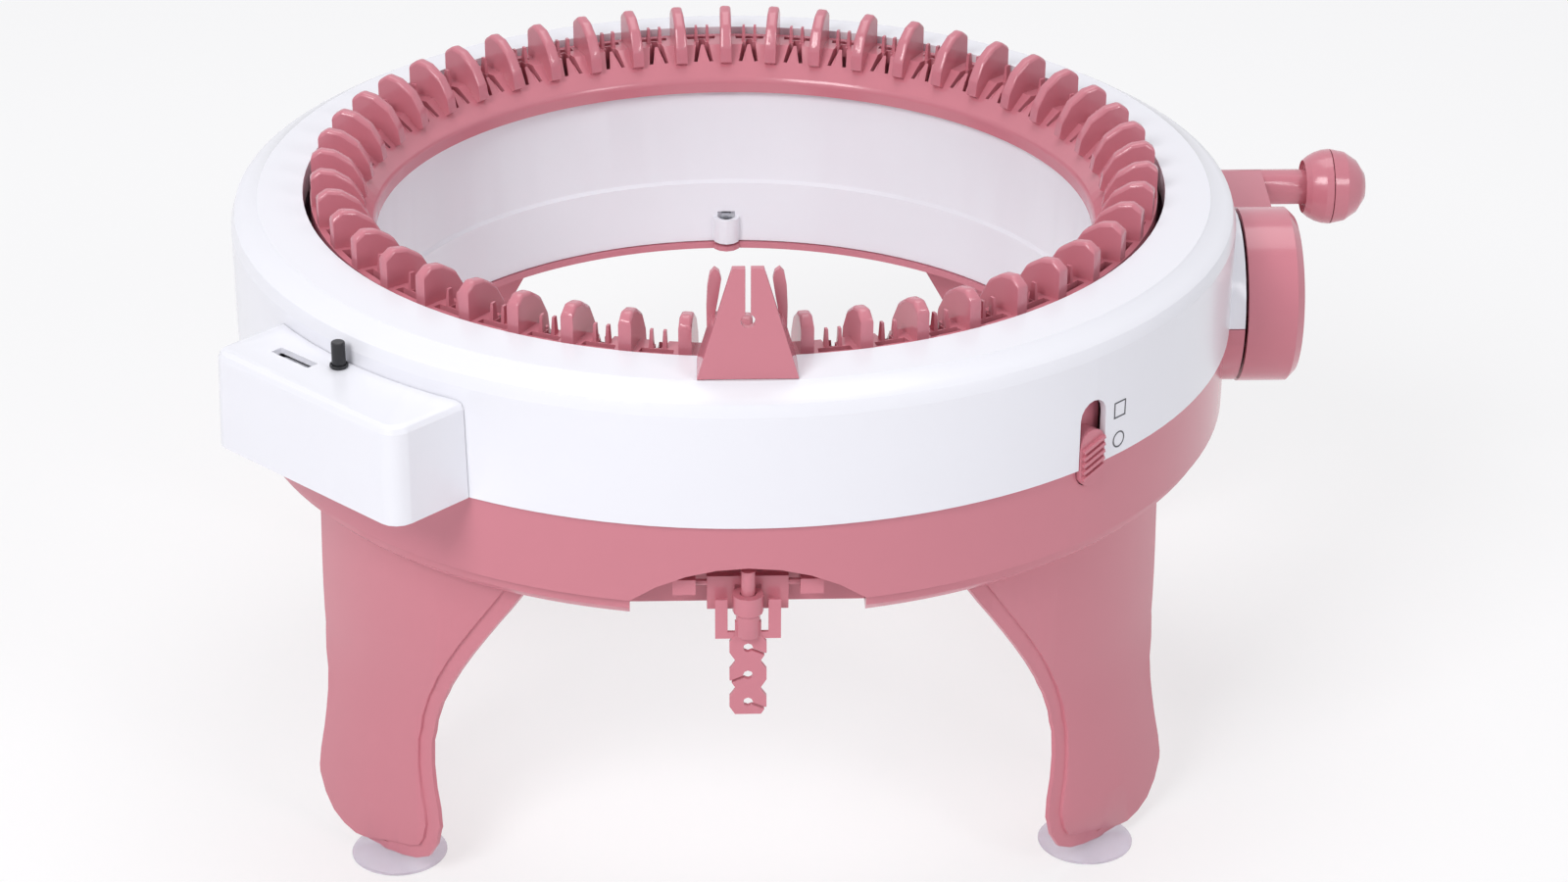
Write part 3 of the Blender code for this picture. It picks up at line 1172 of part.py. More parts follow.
def drafted(obj):
    """Draws a counter piece in towards its top, as its mould needs."""
    for vertex in obj.data.vertices:
        share = (vertex.co.z - COUNTER_BOTTOM_HEIGHT) / COUNTER_HEIGHT
        vertex.co.x -= COUNTER_DRAFT * share
        vertex.co.y *= 1.0 - share * COUNTER_DRAFT / (COUNTER_WIDTH / 2.0)
    return obj


def round_top_edge(obj, top, width):
    """Rounds the edges that lie in the top plane of a piece."""
    shape = bmesh.new()
    shape.from_mesh(obj.data)
    rim = [edge for edge in shape.edges if all(abs(vertex.co.z - top) < SEAM_MERGE for vertex in edge.verts)]
    bmesh.ops.bevel(shape, geom=rim, offset=width, segments=FLANK_STEPS, profile=0.5, affect="EDGES")
    shape.to_mesh(obj.data)
    shape.free()
    return obj


def make_counter_case(frame):
    """Hood of the row counter, open below and towards the housing's wall."""
    back = BODY_RADIUS - COUNTER_WIDTH / 2.0
    middle = (COUNTER_TOP_HEIGHT + COUNTER_BOTTOM_HEIGHT) / 2.0
    outline = rounded_front(COUNTER_FRONT, COUNTER_WIDTH / 2.0, COUNTER_CORNER, back)
    case = plate("counter_case", outline, COUNTER_HEIGHT, frame, (0.0, 0.0, middle))
    case.data.transform(Matrix.Translation(case.location))
    round_top_edge(drafted(place(case, frame)), COUNTER_TOP_HEIGHT, COUNTER_FILLET)
    cut(case, wall_relief("case_relief", frame))
    inner_half = COUNTER_WIDTH / 2.0 - COUNTER_WALL
    inner_corner = COUNTER_CORNER - COUNTER_WALL
    inner = rounded_front(COUNTER_FRONT - COUNTER_WALL, inner_half, inner_corner, back - OVERRUN)
    hollow_middle = middle - COUNTER_WALL / 2.0 - OVERRUN / 2.0
    hollow_height = COUNTER_HEIGHT - COUNTER_WALL + OVERRUN
    hollow = plate("case_hollow", inner, hollow_height, frame, (0.0, 0.0, hollow_middle))
    hollow.data.transform(Matrix.Translation(hollow.location))
    cut(case, drafted(place(hollow, frame)))
    low_end = COUNTER_TOP_HEIGHT - 2.0 * COUNTER_WALL
    high_end = COUNTER_TOP_HEIGHT + OVERRUN
    half_width, half_length = WINDOW_WIDTH / 2.0, WINDOW_LENGTH / 2.0
    low = (WINDOW_REACH - half_width, WINDOW_SIDE - half_length, low_end)
    high = (WINDOW_REACH + half_width, WINDOW_SIDE + half_length, high_end)
    cut(case, box("counter_window", low, high, frame))
    pin_place = (RESET_REACH, RESET_SIDE, 0.0)
    cut(case, rod("reset_hole", RESET_RADIUS + CLEARANCE, low_end, high_end, frame, pin_place))
    return as_part(case, WHITE, frame)


def wheel_height():
    """Height of the digit wheels' axle, the wheels just clear of the counter's top wall."""
    return COUNTER_TOP_HEIGHT - COUNTER_WALL - 2.0 * CLEARANCE - DIGIT_WHEEL_RADIUS


def digit_places():
    middle = (DIGIT_WHEEL_COUNT - 1) / 2.0
    return [WINDOW_SIDE + (index - middle) * DIGIT_WHEEL_PITCH for index in range(DIGIT_WHEEL_COUNT)]


def make_counter_base(frame):
    """Plate that closes the counter from below, with two cheeks for the digit wheels' axle."""
    half = COUNTER_WIDTH / 2.0 - COUNTER_WALL - CLEARANCE
    front = COUNTER_FRONT - COUNTER_WALL - CLEARANCE
    corner = COUNTER_CORNER - COUNTER_WALL
    bottom = COUNTER_BOTTOM_HEIGHT
    outline = rounded_front(front, half, corner, BODY_RADIUS - COUNTER_WIDTH / 2.0)
    base = plate("counter_base", outline, COUNTER_WALL, frame, (0.0, 0.0, bottom + COUNTER_WALL / 2.0))
    base.data.transform(Matrix.Translation(base.location))
    drafted(place(base, frame))
    cut(base, wall_relief("base_relief", frame))
    sides = digit_places()
    gap = DIGIT_WHEEL_WIDTH / 2.0 + CLEARANCE
    top = wheel_height() + 2.0 * DIGIT_SHAFT_RADIUS
    half_depth = 2.0 * DIGIT_SHAFT_RADIUS
    for index, start in enumerate((sides[0] - gap - COUNTER_CHEEK, sides[-1] + gap)):
        low = (WINDOW_REACH - half_depth, start, bottom + COUNTER_WALL / 2.0)
        high = (WINDOW_REACH + half_depth, start + COUNTER_CHEEK, top)
        join(base, box(f"counter_cheek_{index + 1}", low, high, frame))
    span = sides[-1] + gap + COUNTER_CHEEK + OVERRUN
    start = sides[0] - gap - COUNTER_CHEEK - OVERRUN
    hole = rod("digit_shaft_hole", DIGIT_SHAFT_RADIUS + CLEARANCE, -span, -start, frame)
    cut(base, place(hole, frame, (WINDOW_REACH, 0.0, wheel_height()), UPRIGHT_TURN))
    return as_part(base, WHITE, frame)


def make_digit_wheels(frame):
    for index, side in enumerate(digit_places()):
        half = DIGIT_WHEEL_WIDTH / 2.0
        bore = DIGIT_SHAFT_RADIUS + CLEARANCE
        profile = [(DIGIT_WHEEL_RADIUS, half), (DIGIT_WHEEL_RADIUS, -half), (bore, -half), (bore, half)]
        wheel = turned(f"digit_wheel_{index + 1}", profile, KNOB_STEPS, frame)
        as_part(wheel, WHITE, frame, (WINDOW_REACH, side, wheel_height()), UPRIGHT_TURN)


def make_digit_shaft(frame):
    sides = digit_places()
    reach = DIGIT_WHEEL_WIDTH / 2.0 + CLEARANCE + COUNTER_CHEEK
    shaft = rod("digit_shaft", DIGIT_SHAFT_RADIUS, -sides[-1] - reach, -sides[0] + reach, frame)
    return as_part(shaft, STEEL, frame, (WINDOW_REACH, 0.0, wheel_height()), UPRIGHT_TURN)


def make_reset_pin(frame):
    """Black pin that is pressed to clear the counter, with a collar under the top wall."""
    bottom = RESET_TOP_HEIGHT - RESET_LENGTH
    collar_top = COUNTER_TOP_HEIGHT - COUNTER_WALL - CLEARANCE
    collar_bottom = collar_top - RESET_COLLAR_THICKNESS
    edge = RESET_RADIUS - CLEARANCE
    profile = [(0.0, RESET_TOP_HEIGHT), (edge, RESET_TOP_HEIGHT)]
    profile += [(RESET_RADIUS, RESET_TOP_HEIGHT - CLEARANCE), (RESET_RADIUS, collar_top)]
    profile += [(RESET_COLLAR_RADIUS, collar_top), (RESET_COLLAR_RADIUS, collar_bottom)]
    profile += [(RESET_RADIUS, collar_bottom), (RESET_RADIUS, bottom), (0.0, bottom)]
    pin = turned("reset_pin", profile, SMALL_STEPS, frame, closed=False)
    return as_part(pin, BLACK, frame, (RESET_REACH, RESET_SIDE, 0.0))


def make_reset_bush(frame):
    """Black ring around the reset pin, on top of the counter."""
    inner = RESET_RADIUS + CLEARANCE
    outer = inner + RESET_BUSH_WALL
    low = COUNTER_TOP_HEIGHT + CLEARANCE
    high = low + RESET_BUSH_HEIGHT
    profile = [(outer, high), (outer, low), (inner, low), (inner, high)]
    bush = turned("reset_bush", profile, SMALL_STEPS, frame)
    return as_part(bush, BLACK, frame, (RESET_REACH, RESET_SIDE, 0.0))


def stadium(radius, bottom, top):
    """Upright outline with a round top and bottom."""
    upper = arc((0.0, top - radius), radius, 0.0, math.pi, PROFILE_STEPS)
    lower = arc((0.0, bottom + radius), radius, math.pi, math.tau, PROFILE_STEPS)
    return upper + lower


def make_mode_slider(axis):
    """Ribbed button in the wall's slot, with a wider flange behind it; shown in its lower place."""
    rest = add_empty("slider_rest", (0.0, 0.0, 0.0), axis, (0.0, 0.0, SLIDER_ANGLE))
    half = SLIDER_SLOT_WIDTH / 2.0 - CLEARANCE
    bottom = SLIDER_SLOT_BOTTOM + CLEARANCE
    top = SLIDER_SLOT_TOP - CLEARANCE - SLIDER_TRAVEL
    middle = ((SLIDER_FACE + SLIDER_BACK) / 2.0, 0.0, 0.0)
    slider = plate("mode_slider", stadium(half, bottom, top), SLIDER_DEPTH, rest, middle, SIDEWAYS_TURN)
    slider.data.transform(Matrix.LocRotScale(slider.location, slider.rotation_euler, None))
    margin = SLIDER_FLANGE_MARGIN
    wide = stadium(half + margin, SLIDER_SLOT_BOTTOM - SLIDER_TRAVEL - margin, SLIDER_SLOT_TOP + margin)
    flange_middle = (SLIDER_BACK - CLEARANCE + SLIDER_FLANGE_THICKNESS / 2.0, 0.0, 0.0)
    flange = plate("slider_flange", wide, SLIDER_FLANGE_THICKNESS, rest, flange_middle, SIDEWAYS_TURN)
    join(slider, flange)
    reach = half * SLIDER_RIB_REACH_SHARE
    lowest = (top + bottom - SLIDER_RIB_PITCH * (SLIDER_RIB_COUNT - 1)) / 2.0
    low = (SLIDER_FACE - SLIDER_RIB_RISE, -reach, -SLIDER_RIB_WIDTH / 2.0)
    high = (SLIDER_FACE + SLIDER_RIB_RISE, reach, SLIDER_RIB_WIDTH / 2.0)
    for index in range(SLIDER_RIB_COUNT):
        centre = (0.0, 0.0, lowest + SLIDER_RIB_PITCH * index)
        join(slider, box(f"slider_rib_{index + 1}", low, high, rest, centre, (SLIDER_RIB_TILT, 0.0, 0.0)))
    return as_part(slider, PINK, rest)


def make_tension_bracket(hinge):
    """Slotted plate on two pivot pins, with the post that carries the tension lever."""
    half = BRACKET_THICKNESS / 2.0
    low = (-BRACKET_HALF_WIDTH, -half, -BRACKET_DROP)
    bracket = box("tension_bracket", low, (BRACKET_HALF_WIDTH, half, BRACKET_RISE), hinge)
    slot = BRACKET_SLOT_HALF_WIDTH
    bridge = BRACKET_RISE - BRACKET_BRIDGE
    slot_low = (-slot, -BRACKET_THICKNESS, -BRACKET_DROP - OVERRUN)
    cut(bracket, box("bracket_slot", slot_low, (slot, BRACKET_THICKNESS, bridge), hinge))
    pin_reach = TAB_INNER_SIDE + TAB_WIDTH / 2.0 - CLEARANCE
    for index, sign in enumerate((-1.0, 1.0)):
        ends = sorted((sign * (BRACKET_HALF_WIDTH - half), sign * pin_reach))
        name = f"pivot_pin_{index + 1}"
        join(bracket, rod(name, PIVOT_PIN_RADIUS, *ends, hinge, rotation=SHAFT_TURN, steps=SCREW_STEPS))
    arm_half = TENSION_POST_RADIUS / 2.0
    arm_low = (-arm_half, -TENSION_POST_FORWARD, bridge + CLEARANCE)
    join(bracket, box("post_arm", arm_low, (arm_half, 0.0, BRACKET_RISE - CLEARANCE), hinge))
    centre = (0.0, -TENSION_POST_FORWARD, 0.0)
    join(bracket, rod("tension_post", TENSION_POST_RADIUS, COLLAR_BOTTOM, TENSION_POST_RISE, hinge, centre))
    return as_part(bracket, PINK, hinge)


def lobe_outline():
    """Right edge of the lobed plate from its neck down, then the left edge back up."""
    right = [(LOBE_NECK_HALF_WIDTH, LOBE_PITCH / 2.0 - LOBE_DROP)]
    rise = LOBE_HALF_WIDTH - LOBE_NECK_HALF_WIDTH
    for index in range(LOBE_COUNT):
        top = -LOBE_DROP - LOBE_PITCH * index
        right += [
            (LOBE_NECK_HALF_WIDTH + rise * out, top - LOBE_PITCH * down) for down, out in LOBE_OUTLINE_SHARES
        ]
    return right[::-1] + [(-x, z) for x, z in right]


def lever_collar(hinge):
    """Tube around the bracket's post that narrows to the solid neck of the lobes."""
    bore = TENSION_POST_RADIUS + CLEARANCE
    bore_end = COLLAR_BOTTOM - CLEARANCE
    neck = LOBE_NECK_HALF_WIDTH - CLEARANCE
    profile = [(0.0, bore_end), (bore, bore_end), (bore, -COLLAR_DROP), (COLLAR_RADIUS, -COLLAR_DROP)]
    profile += [(COLLAR_RADIUS, COLLAR_BOTTOM), (neck, COLLAR_BOTTOM - COLLAR_TAPER)]
    profile += [(neck, -LOBE_DROP), (0.0, -LOBE_DROP)]
    return turned("lever_collar", profile, SMALL_STEPS, hinge, closed=False)


def fork_outline():
    """Outline of the two side arms and the foot between them, open at the top."""
    outer = LEVER_ARM_SIDE
    inner = LEVER_ARM_SIDE - LEVER_ARM_WIDTH
    foot = -LEVER_FOOT_DROP
    web = foot + LEVER_FOOT_HEIGHT
    top = -LEVER_ARM_DROP
    left = [(-inner, web), (-inner, top), (-outer, top)]
    return [(-outer, foot), (outer, foot), (outer, top), (inner, top), (inner, web), *left]


def make_tension_lever(hinge):
    """Collar on the bracket's post, two side arms and three slotted lobes that brake the yarn."""
    centre = (0.0, -TENSION_POST_FORWARD, 0.0)
    lever = plate("tension_lever", lobe_outline(), LEVER_THICKNESS, hinge, centre, UPRIGHT_TURN)
    lever.data.transform(Matrix.LocRotScale(lever.location, lever.rotation_euler, None))
    join(lever, place(lever_collar(hinge), hinge, centre))
    fork_thickness = LEVER_THICKNESS - 2.0 * CLEARANCE
    join(lever, plate("lever_fork", fork_outline(), fork_thickness, hinge, centre, UPRIGHT_TURN))
    reach = LEVER_ARM_SIDE
    slit_half = LOBE_SLIT_WIDTH / 2.0
    for index in range(LOBE_COUNT):
        middle = (0.0, 0.0, -LOBE_DROP - LOBE_PITCH * (index + LOBE_EYE_SHARE))
        eye = rod(f"lobe_eye_{index + 1}", LOBE_EYE_RADIUS, -reach, reach, hinge, middle, UPRIGHT_TURN, SCREW_STEPS)
        cut(lever, eye)
        high = (2.0 * LOBE_HALF_WIDTH, reach, slit_half)
        slit = box(f"lobe_slit_{index + 1}", (0.0, -reach, -slit_half), high, hinge)
        slit.data.transform(Matrix.Rotation(-LOBE_SLIT_ANGLE, 4, "Y"))
        cut(lever, place(slit, hinge, middle, (0.0, 0.0, math.pi * (index % 2))))
    return as_part(lever, PINK, hinge)


def leg_angles():
    """Mid directions of the four legs, two in front and two behind."""
    quarter = math.pi / 2.0
    return [-quarter - FOOT_ANGLE, -quarter + FOOT_ANGLE, quarter - FOOT_ANGLE, quarter + FOOT_ANGLE]


def leg_screw_radius():
    return LEG_TOP_RADIUS - LEG_THICKNESS - LEG_FLANGE_DEPTH / 2.0


def leg_radius(drop):
    """Radius of a leg's outer face at a share of its length below its top."""
    flared = (drop - LEG_FLARE_START_SHARE) / (1.0 - LEG_FLARE_START_SHARE)
    return LEG_TOP_RADIUS + LEG_FLARE * smooth(flared)


def leg_shell(name, axis, outward, inward, above, below):
    """Flared round wall that follows the legs' outer face, offset to both sides of it."""
    drops = list(LEG_FLARE_SHARES)
    outer = [(leg_radius(drop) + outward, LEG_TOP - LEG_LENGTH * drop) for drop in drops]
    outer[0] = (outer[0][0], LEG_TOP + above)
    outer[-1] = (outer[-1][0], LEG_BOTTOM - below)
    inner = [(radius - outward - inward, height) for radius, height in reversed(outer)]
    return turned(name, outer + inner, HOUSING_STEPS, axis)


def leg_curve(shares):
    """Smooth edge of a leg through its points, seen square to the leg."""
    points = [(LEG_HALF_WIDTH * side, LEG_TOP - LEG_LENGTH * drop) for side, drop in shares]
    return curve_through(points, CURVE_STEPS)


def leg_outline():
    """Closed outline of a leg, carried up past its top."""
    curve = leg_curve(LEG_OUTER_SHARES + LEG_INNER_SHARES)
    high = LEG_TOP + OVERRUN
    return [(curve[0][0], high), *curve[1:-1], (curve[-1][0], high)]


def rim_outline():
    """Strip along the leg's inner edge, narrowing to nothing under its toe and reaching past the edge."""
    curve = [Vector(point) for point in leg_curve(LEG_INNER_SHARES)]
    curve[-1].y = LEG_TOP + OVERRUN
    outside, inside = [], []
    for index, point in enumerate(curve):
        along = curve[min(index + 1, len(curve) - 1)] - curve[max(index - 1, 0)]
        square = Vector((along.y, -along.x)).normalized()
        width = LEG_RIM_WIDTH * smooth(index / CORNER_STEPS)
        outside.append(tuple(point - square * OVERRUN))
        inside.append(tuple(point + square * width))
    return outside + inside[::-1]


def leg_prism(name, outline, axis, angle):
    """Outline carried radially through the leg's wall and flare."""
    turn = (math.pi / 2.0, 0.0, angle + math.pi / 2.0)
    depth = 2.0 * (LEG_FLARE + LEG_FLANGE_DEPTH)
    return plate(name, outline, depth, axis, polar(LEG_TOP_RADIUS, angle), turn)


def shape_leg(axis, angle):
    """Front right leg: flared wall cut to its outline, stepped rim, top flange and foot pad."""
    leg = leg_shell("leg_front_right", axis, 0.0, LEG_THICKNESS, 0.0, OVERRUN)
    boolean(leg, leg_prism("leg_outline", leg_outline(), axis, angle), "INTERSECT")
    rim = leg_shell("leg_rim", axis, OVERRUN, LEG_RIM_STEP, OVERRUN, 2.0 * OVERRUN)
    boolean(rim, leg_prism("leg_rim_strip", rim_outline(), axis, angle), "INTERSECT")
    cut(leg, rim)
    inner = LEG_TOP_RADIUS - LEG_THICKNESS
    half = LEG_FLANGE_WIDTH / 2.0
    low = (inner - LEG_FLANGE_DEPTH, -half, LEG_TOP - CLEARANCE - LEG_THICKNESS)
    high = (inner + CLEARANCE, half, LEG_TOP - CLEARANCE)
    join(leg, box("leg_flange", low, high, axis, rotation=(0.0, 0.0, angle)))
    centre = polar(FOOT_CENTRE_RADIUS, angle)
    join(leg, rod("leg_pad", FOOT_PAD_RADIUS, PAD_BOTTOM, PAD_BOTTOM + FOOT_PAD_THICKNESS, axis, centre))
    top = PAD_BOTTOM + FOOT_PAD_THICKNESS + OVERRUN
    cut(leg, rod("cup_hole", CUP_STUD_RADIUS + CLEARANCE, LEG_BOTTOM - OVERRUN, top, axis, centre))
    screw = polar(leg_screw_radius(), angle)
    radius = LEG_SCREW_SHANK_RADIUS + CLEARANCE
    low_end = LEG_TOP - LEG_THICKNESS - OVERRUN
    cut(leg, rod("flange_hole", radius, low_end, LEG_TOP + OVERRUN, axis, screw, steps=SCREW_STEPS))
    return leg


def mirrored_leg(name, shaped, flip_x, flip_y):
    """Copy of the shaped leg, mirrored into another corner of the machine."""
    mesh = bpy.data.meshes.new_from_object(shaped.evaluated_get(bpy.context.evaluated_depsgraph_get()))
    mesh.transform(Matrix.Diagonal((-1.0 if flip_x else 1.0, -1.0 if flip_y else 1.0, 1.0, 1.0)))
    if flip_x != flip_y:
        mesh.flip_normals()
    leg = bpy.data.objects.new(name, mesh)
    PARTS.objects.link(leg)
    return leg


def make_leg_screw(name, axis, angle):
    """Screw up through the leg's flange into the base."""
    head_top = LEG_TOP - LEG_THICKNESS - 2.0 * CLEARANCE
    shank_end = FLOOR_TOP - head_top
    profile = [(0.0, shank_end), (LEG_SCREW_SHANK_RADIUS, shank_end), (LEG_SCREW_SHANK_RADIUS, 0.0)]
    profile += [(LEG_SCREW_HEAD_RADIUS, 0.0), (LEG_SCREW_HEAD_RADIUS, -LEG_SCREW_HEAD_HEIGHT)]
    profile += [(0.0, -LEG_SCREW_HEAD_HEIGHT)]
    screw = turned(name, profile, SCREW_STEPS, axis, closed=False)
    return as_part(screw, STEEL, axis, polar(leg_screw_radius(), angle, head_top))


def make_cup(name, axis, angle):
    """Suction cup with a hollow underside and a headed stud through the foot pad."""
    top = LEG_BOTTOM - CLEARANCE
    bottom = top - CUP_HEIGHT
    head_low = PAD_BOTTOM + FOOT_PAD_THICKNESS + CLEARANCE
    profile = [(0.0, head_low + CUP_HEAD_HEIGHT), (CUP_HEAD_RADIUS, head_low + CUP_HEAD_HEIGHT)]
    profile += [(CUP_HEAD_RADIUS, head_low), (CUP_STUD_RADIUS, head_low), (CUP_STUD_RADIUS, top)]
    profile += [(FOOT_PAD_RADIUS, top), (CUP_RADIUS, bottom), (CUP_RADIUS - CUP_RIM, bottom)]
    profile += [(0.0, bottom + CUP_HEIGHT / 2.0)]
    cup = turned(name, profile, CUP_STEPS, axis, closed=False)
    return as_part(cup, RUBBER, axis, polar(FOOT_CENTRE_RADIUS, angle))


def make_legs(axis):
    names = ("front_left", "front_right", "rear_right", "rear_left")
    flips = ((True, False), (False, False), (False, True), (True, True))
    shaped = shape_leg(axis, leg_angles()[1])
    for name, (flip_x, flip_y), angle in zip(names, flips, leg_angles()):
        leg = mirrored_leg("leg_" + name, shaped, flip_x, flip_y) if flip_x or flip_y else shaped
        as_part(leg, PINK, axis)
        make_leg_screw("leg_screw_" + name, axis, angle)
        make_cup("suction_cup_" + name, axis, angle)


clear_scene()
PARTS = new_collection("knitting_machine")
CUTTERS = new_collection("cutters")
AXIS = add_machine_axis()
BED = add_empty("bed_axis", (0.0, 0.0, 0.0), AXIS)
CRANK = add_empty("crank_axis", (0.0, 0.0, 0.0), AXIS)
STEM = stem_place()
KNOB = add_empty("knob_axis", (KNOB_CENTRE, STEM[1], STEM[2]), CRANK, SHAFT_TURN)
HINGE = add_empty("tension_hinge", (0.0, -PIVOT_FRONT, PIVOT_HEIGHT), AXIS)
COUNTER = counter_frame()

make_upper_housing(AXIS)
make_lower_housing(AXIS)
make_inner_liner(AXIS)
make_liner_screws(AXIS)
make_cam_ring(AXIS)
make_needle_bed(BED)
make_needle_drum(BED)
make_crown_gear(BED)
make_pinion(CRANK)
make_crank_shaft(CRANK)
make_crank_bush(AXIS)
make_crank(CRANK)
make_knob(KNOB)
make_knob_screw(CRANK)
make_yarn_feeder(AXIS)
make_counter_case(COUNTER)
make_counter_base(COUNTER)
make_digit_wheels(COUNTER)
make_digit_shaft(COUNTER)
make_reset_pin(COUNTER)
make_reset_bush(COUNTER)
make_mode_slider(AXIS)
make_tension_bracket(HINGE)
make_tension_lever(HINGE)
make_legs(AXIS)
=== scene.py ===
"""Looks of the circular knitting machine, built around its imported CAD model."""

import json
import math

import bmesh
import bpy
from mathutils import Color, Matrix, Vector


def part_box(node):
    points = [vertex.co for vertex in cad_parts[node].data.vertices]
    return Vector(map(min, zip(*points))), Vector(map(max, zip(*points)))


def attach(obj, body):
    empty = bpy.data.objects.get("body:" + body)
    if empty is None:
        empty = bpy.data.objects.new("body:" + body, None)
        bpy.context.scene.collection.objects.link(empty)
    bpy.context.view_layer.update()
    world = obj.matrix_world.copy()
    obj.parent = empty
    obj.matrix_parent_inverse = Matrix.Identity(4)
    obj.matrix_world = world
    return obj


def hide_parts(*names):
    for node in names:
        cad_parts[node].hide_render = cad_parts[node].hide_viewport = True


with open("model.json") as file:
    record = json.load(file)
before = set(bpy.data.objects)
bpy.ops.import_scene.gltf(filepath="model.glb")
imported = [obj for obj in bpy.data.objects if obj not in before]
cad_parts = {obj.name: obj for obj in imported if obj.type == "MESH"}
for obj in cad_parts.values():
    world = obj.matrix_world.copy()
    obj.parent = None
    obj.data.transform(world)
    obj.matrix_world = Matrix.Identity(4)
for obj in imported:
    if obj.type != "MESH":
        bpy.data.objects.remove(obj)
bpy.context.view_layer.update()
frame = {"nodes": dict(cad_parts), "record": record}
NODES = frame["nodes"]
BODIES = frame["record"]["behaviour"]["bodies"]
BODY_OF = {node: body for body, nodes in BODIES.items() for node in nodes}
CORNERS = ("front_left", "front_right", "rear_right", "rear_left")
LEG_NODES = ["leg_" + corner for corner in CORNERS]
CUP_NODES = ["suction_cup_" + corner for corner in CORNERS]
KNOB_NODES = ("knob_inner_half", "knob_outer_half")
WHEEL_NODES = ("digit_wheel_1", "digit_wheel_2", "digit_wheel_3")

# Axes of the round forms
UP = Vector((0.0, 0.0, 1.0))
MACHINE_PLACE = Vector((-0.03175, 0.0, 0.152987))
CRANK_DIRECTION = Vector((1.0, 0.0, 0.0))
WHEEL_DIRECTION = Vector((math.sqrt(0.5), -math.sqrt(0.5), 0.0))
WHEEL_INWARD = Vector((math.sqrt(0.5), math.sqrt(0.5), 0.0))

# Facets round each wall of the CAD model
WALL_STEPS = 48
DISC_STEPS = 28
CUP_STEPS = 16
WHEEL_STEPS = 20
KNOB_STEPS = 20
FACET_SLICES = 3

# Radii of the round walls
UPPER_RADIUS = 0.1750
LOWER_RADIUS = 0.1736
LEG_RADIUS = 0.17545
LINER_RADIUS = 0.1305
BED_RADIUS = 0.1475
DISC_RADIUS = 0.0310
CUP_RADIUS = 0.0164
WHEEL_RADIUS = 0.0087
KNOB_RADIUS = 0.0140

# Mesh repair and edge rounding
MERGE = 0.000002
TOLERANCE = 0.00002
FLAT_ANGLE = math.radians(0.3)
SHARP_ANGLE = math.radians(32.0)
EDGE_ROUND = 0.00035
FINE_ROUND = 0.0002
WIDE_ROUND = 0.0006
EDGE_SEGMENTS = 2

# Needle bed, as radius, side and height from the split between the housings
NEEDLE_COUNT = 48
NEEDLE_ANGLE = math.tau / NEEDLE_COUNT
FIN_FOOT_HEIGHT = 0.0464
FIN_HALF_THICKNESS = 0.0022
FIN_ROUND = 0.0012
FIN_SEGMENTS = 3
LIP_RADIUS = 0.1255
LIP_BAND_TOP = 0.0352875
CUT_BOTTOM = 0.0300
CUT_TOP = 0.0470
SLOT_OUTLINE = (
    (0.1310, 0.0023),
    (0.1310, 0.0037),
    (0.1364, 0.0025),
    (0.1389, 0.0023),
    (0.1389, 0.0005),
    (0.1360, 0.0005),
)
POCKET_OUTLINE = ((0.1423, -0.0052), (0.1423, 0.0052), (0.1452, 0.0056), (0.1452, -0.0056))
WEDGE_ENDS = ((0.1308, 0.0024, 0.0352, 0.04065), (0.1366, 0.0006, 0.0405, 0.04585))

# Latch needle, heights from the split between the housings
NEEDLE_RADIUS = 0.13375
NEEDLE_HALF_WIDTH = 0.00035
NEEDLE_HALF_DEPTH = 0.0005
NEEDLE_BOTTOM = -0.0060
NEEDLE_SHOULDER = 0.0320
HOOK_TOP = 0.0385
HOOK_RADIUS = 0.0013
HOOK_ARC = math.radians(210.0)
HOOK_STEPS = 6
LATCH_LENGTH = 0.0075
LATCH_HINGE_REACH = 0.0006
LATCH_SPOON_REACH = 0.0024
BUTT_RADIUS = 0.1357
BUTT_HEIGHT = 0.0030

# Step between the white rim and its shoulder
STEP_RADIUS = 0.166075
STEP_LOWEST = 0.0440
STEP_HALF_WIDTH = 0.0003
STEP_DROP = 0.0005

# Counter digits
DIGIT_COUNT = 10
DIGIT_HEIGHT = 0.0040
DIGIT_PRINT = 0.00004
DIGIT_BANDS = 8

# Signs beside the mode slider, heights from the split between the housings
SIGN_ANGLE = math.radians(-46.0)
SIGN_HALF = 0.0029
SIGN_LINE = 0.0005
SIGN_PRINT = 0.00006
SQUARE_HEIGHT = 0.0164
CIRCLE_HEIGHT = 0.0055
CIRCLE_STEPS = 32

# Plastics, rubber and steel
CLOUD_SCALE = 22.0
CLOUD_DETAIL = 3.0
CLOUD_SHADE = 0.95
WHITE_CLOUD_SHADE = 0.985
GRAIN_SCALE = 1400.0
GRAIN_DETAIL = 2.0
GRAIN_STRENGTH = 0.25
GRAIN_DEPTH = 0.00002
SMOOTHEST_SHARE = 0.85
ROUGHEST_SHARE = 1.2
PLASTIC_IOR = 1.5
RUBBER_IOR = 1.35
RUBBER_CLEARNESS = 0.75
STEEL_ROUGHNESS = 0.26
RUBBER_ROUGHNESS = 0.2

# Floor and surround
FLOOR_HALF = 6.0
FLOOR_DROP = 0.0002
FLOOR_COLOUR = (0.97, 0.97, 0.98, 1.0)
FLOOR_CLOUD_COLOUR = (0.96, 0.96, 0.975, 1.0)
FLOOR_CLOUD_SCALE = 3.0
FLOOR_CLOUD_DETAIL = 2.0
FLOOR_ROUGHNESS = 0.6
FLOOR_WHITE_SHARE = 0.6
WORLD_COLOUR = (0.96, 0.96, 1.0, 1.0)
WORLD_LIGHT = 0.40

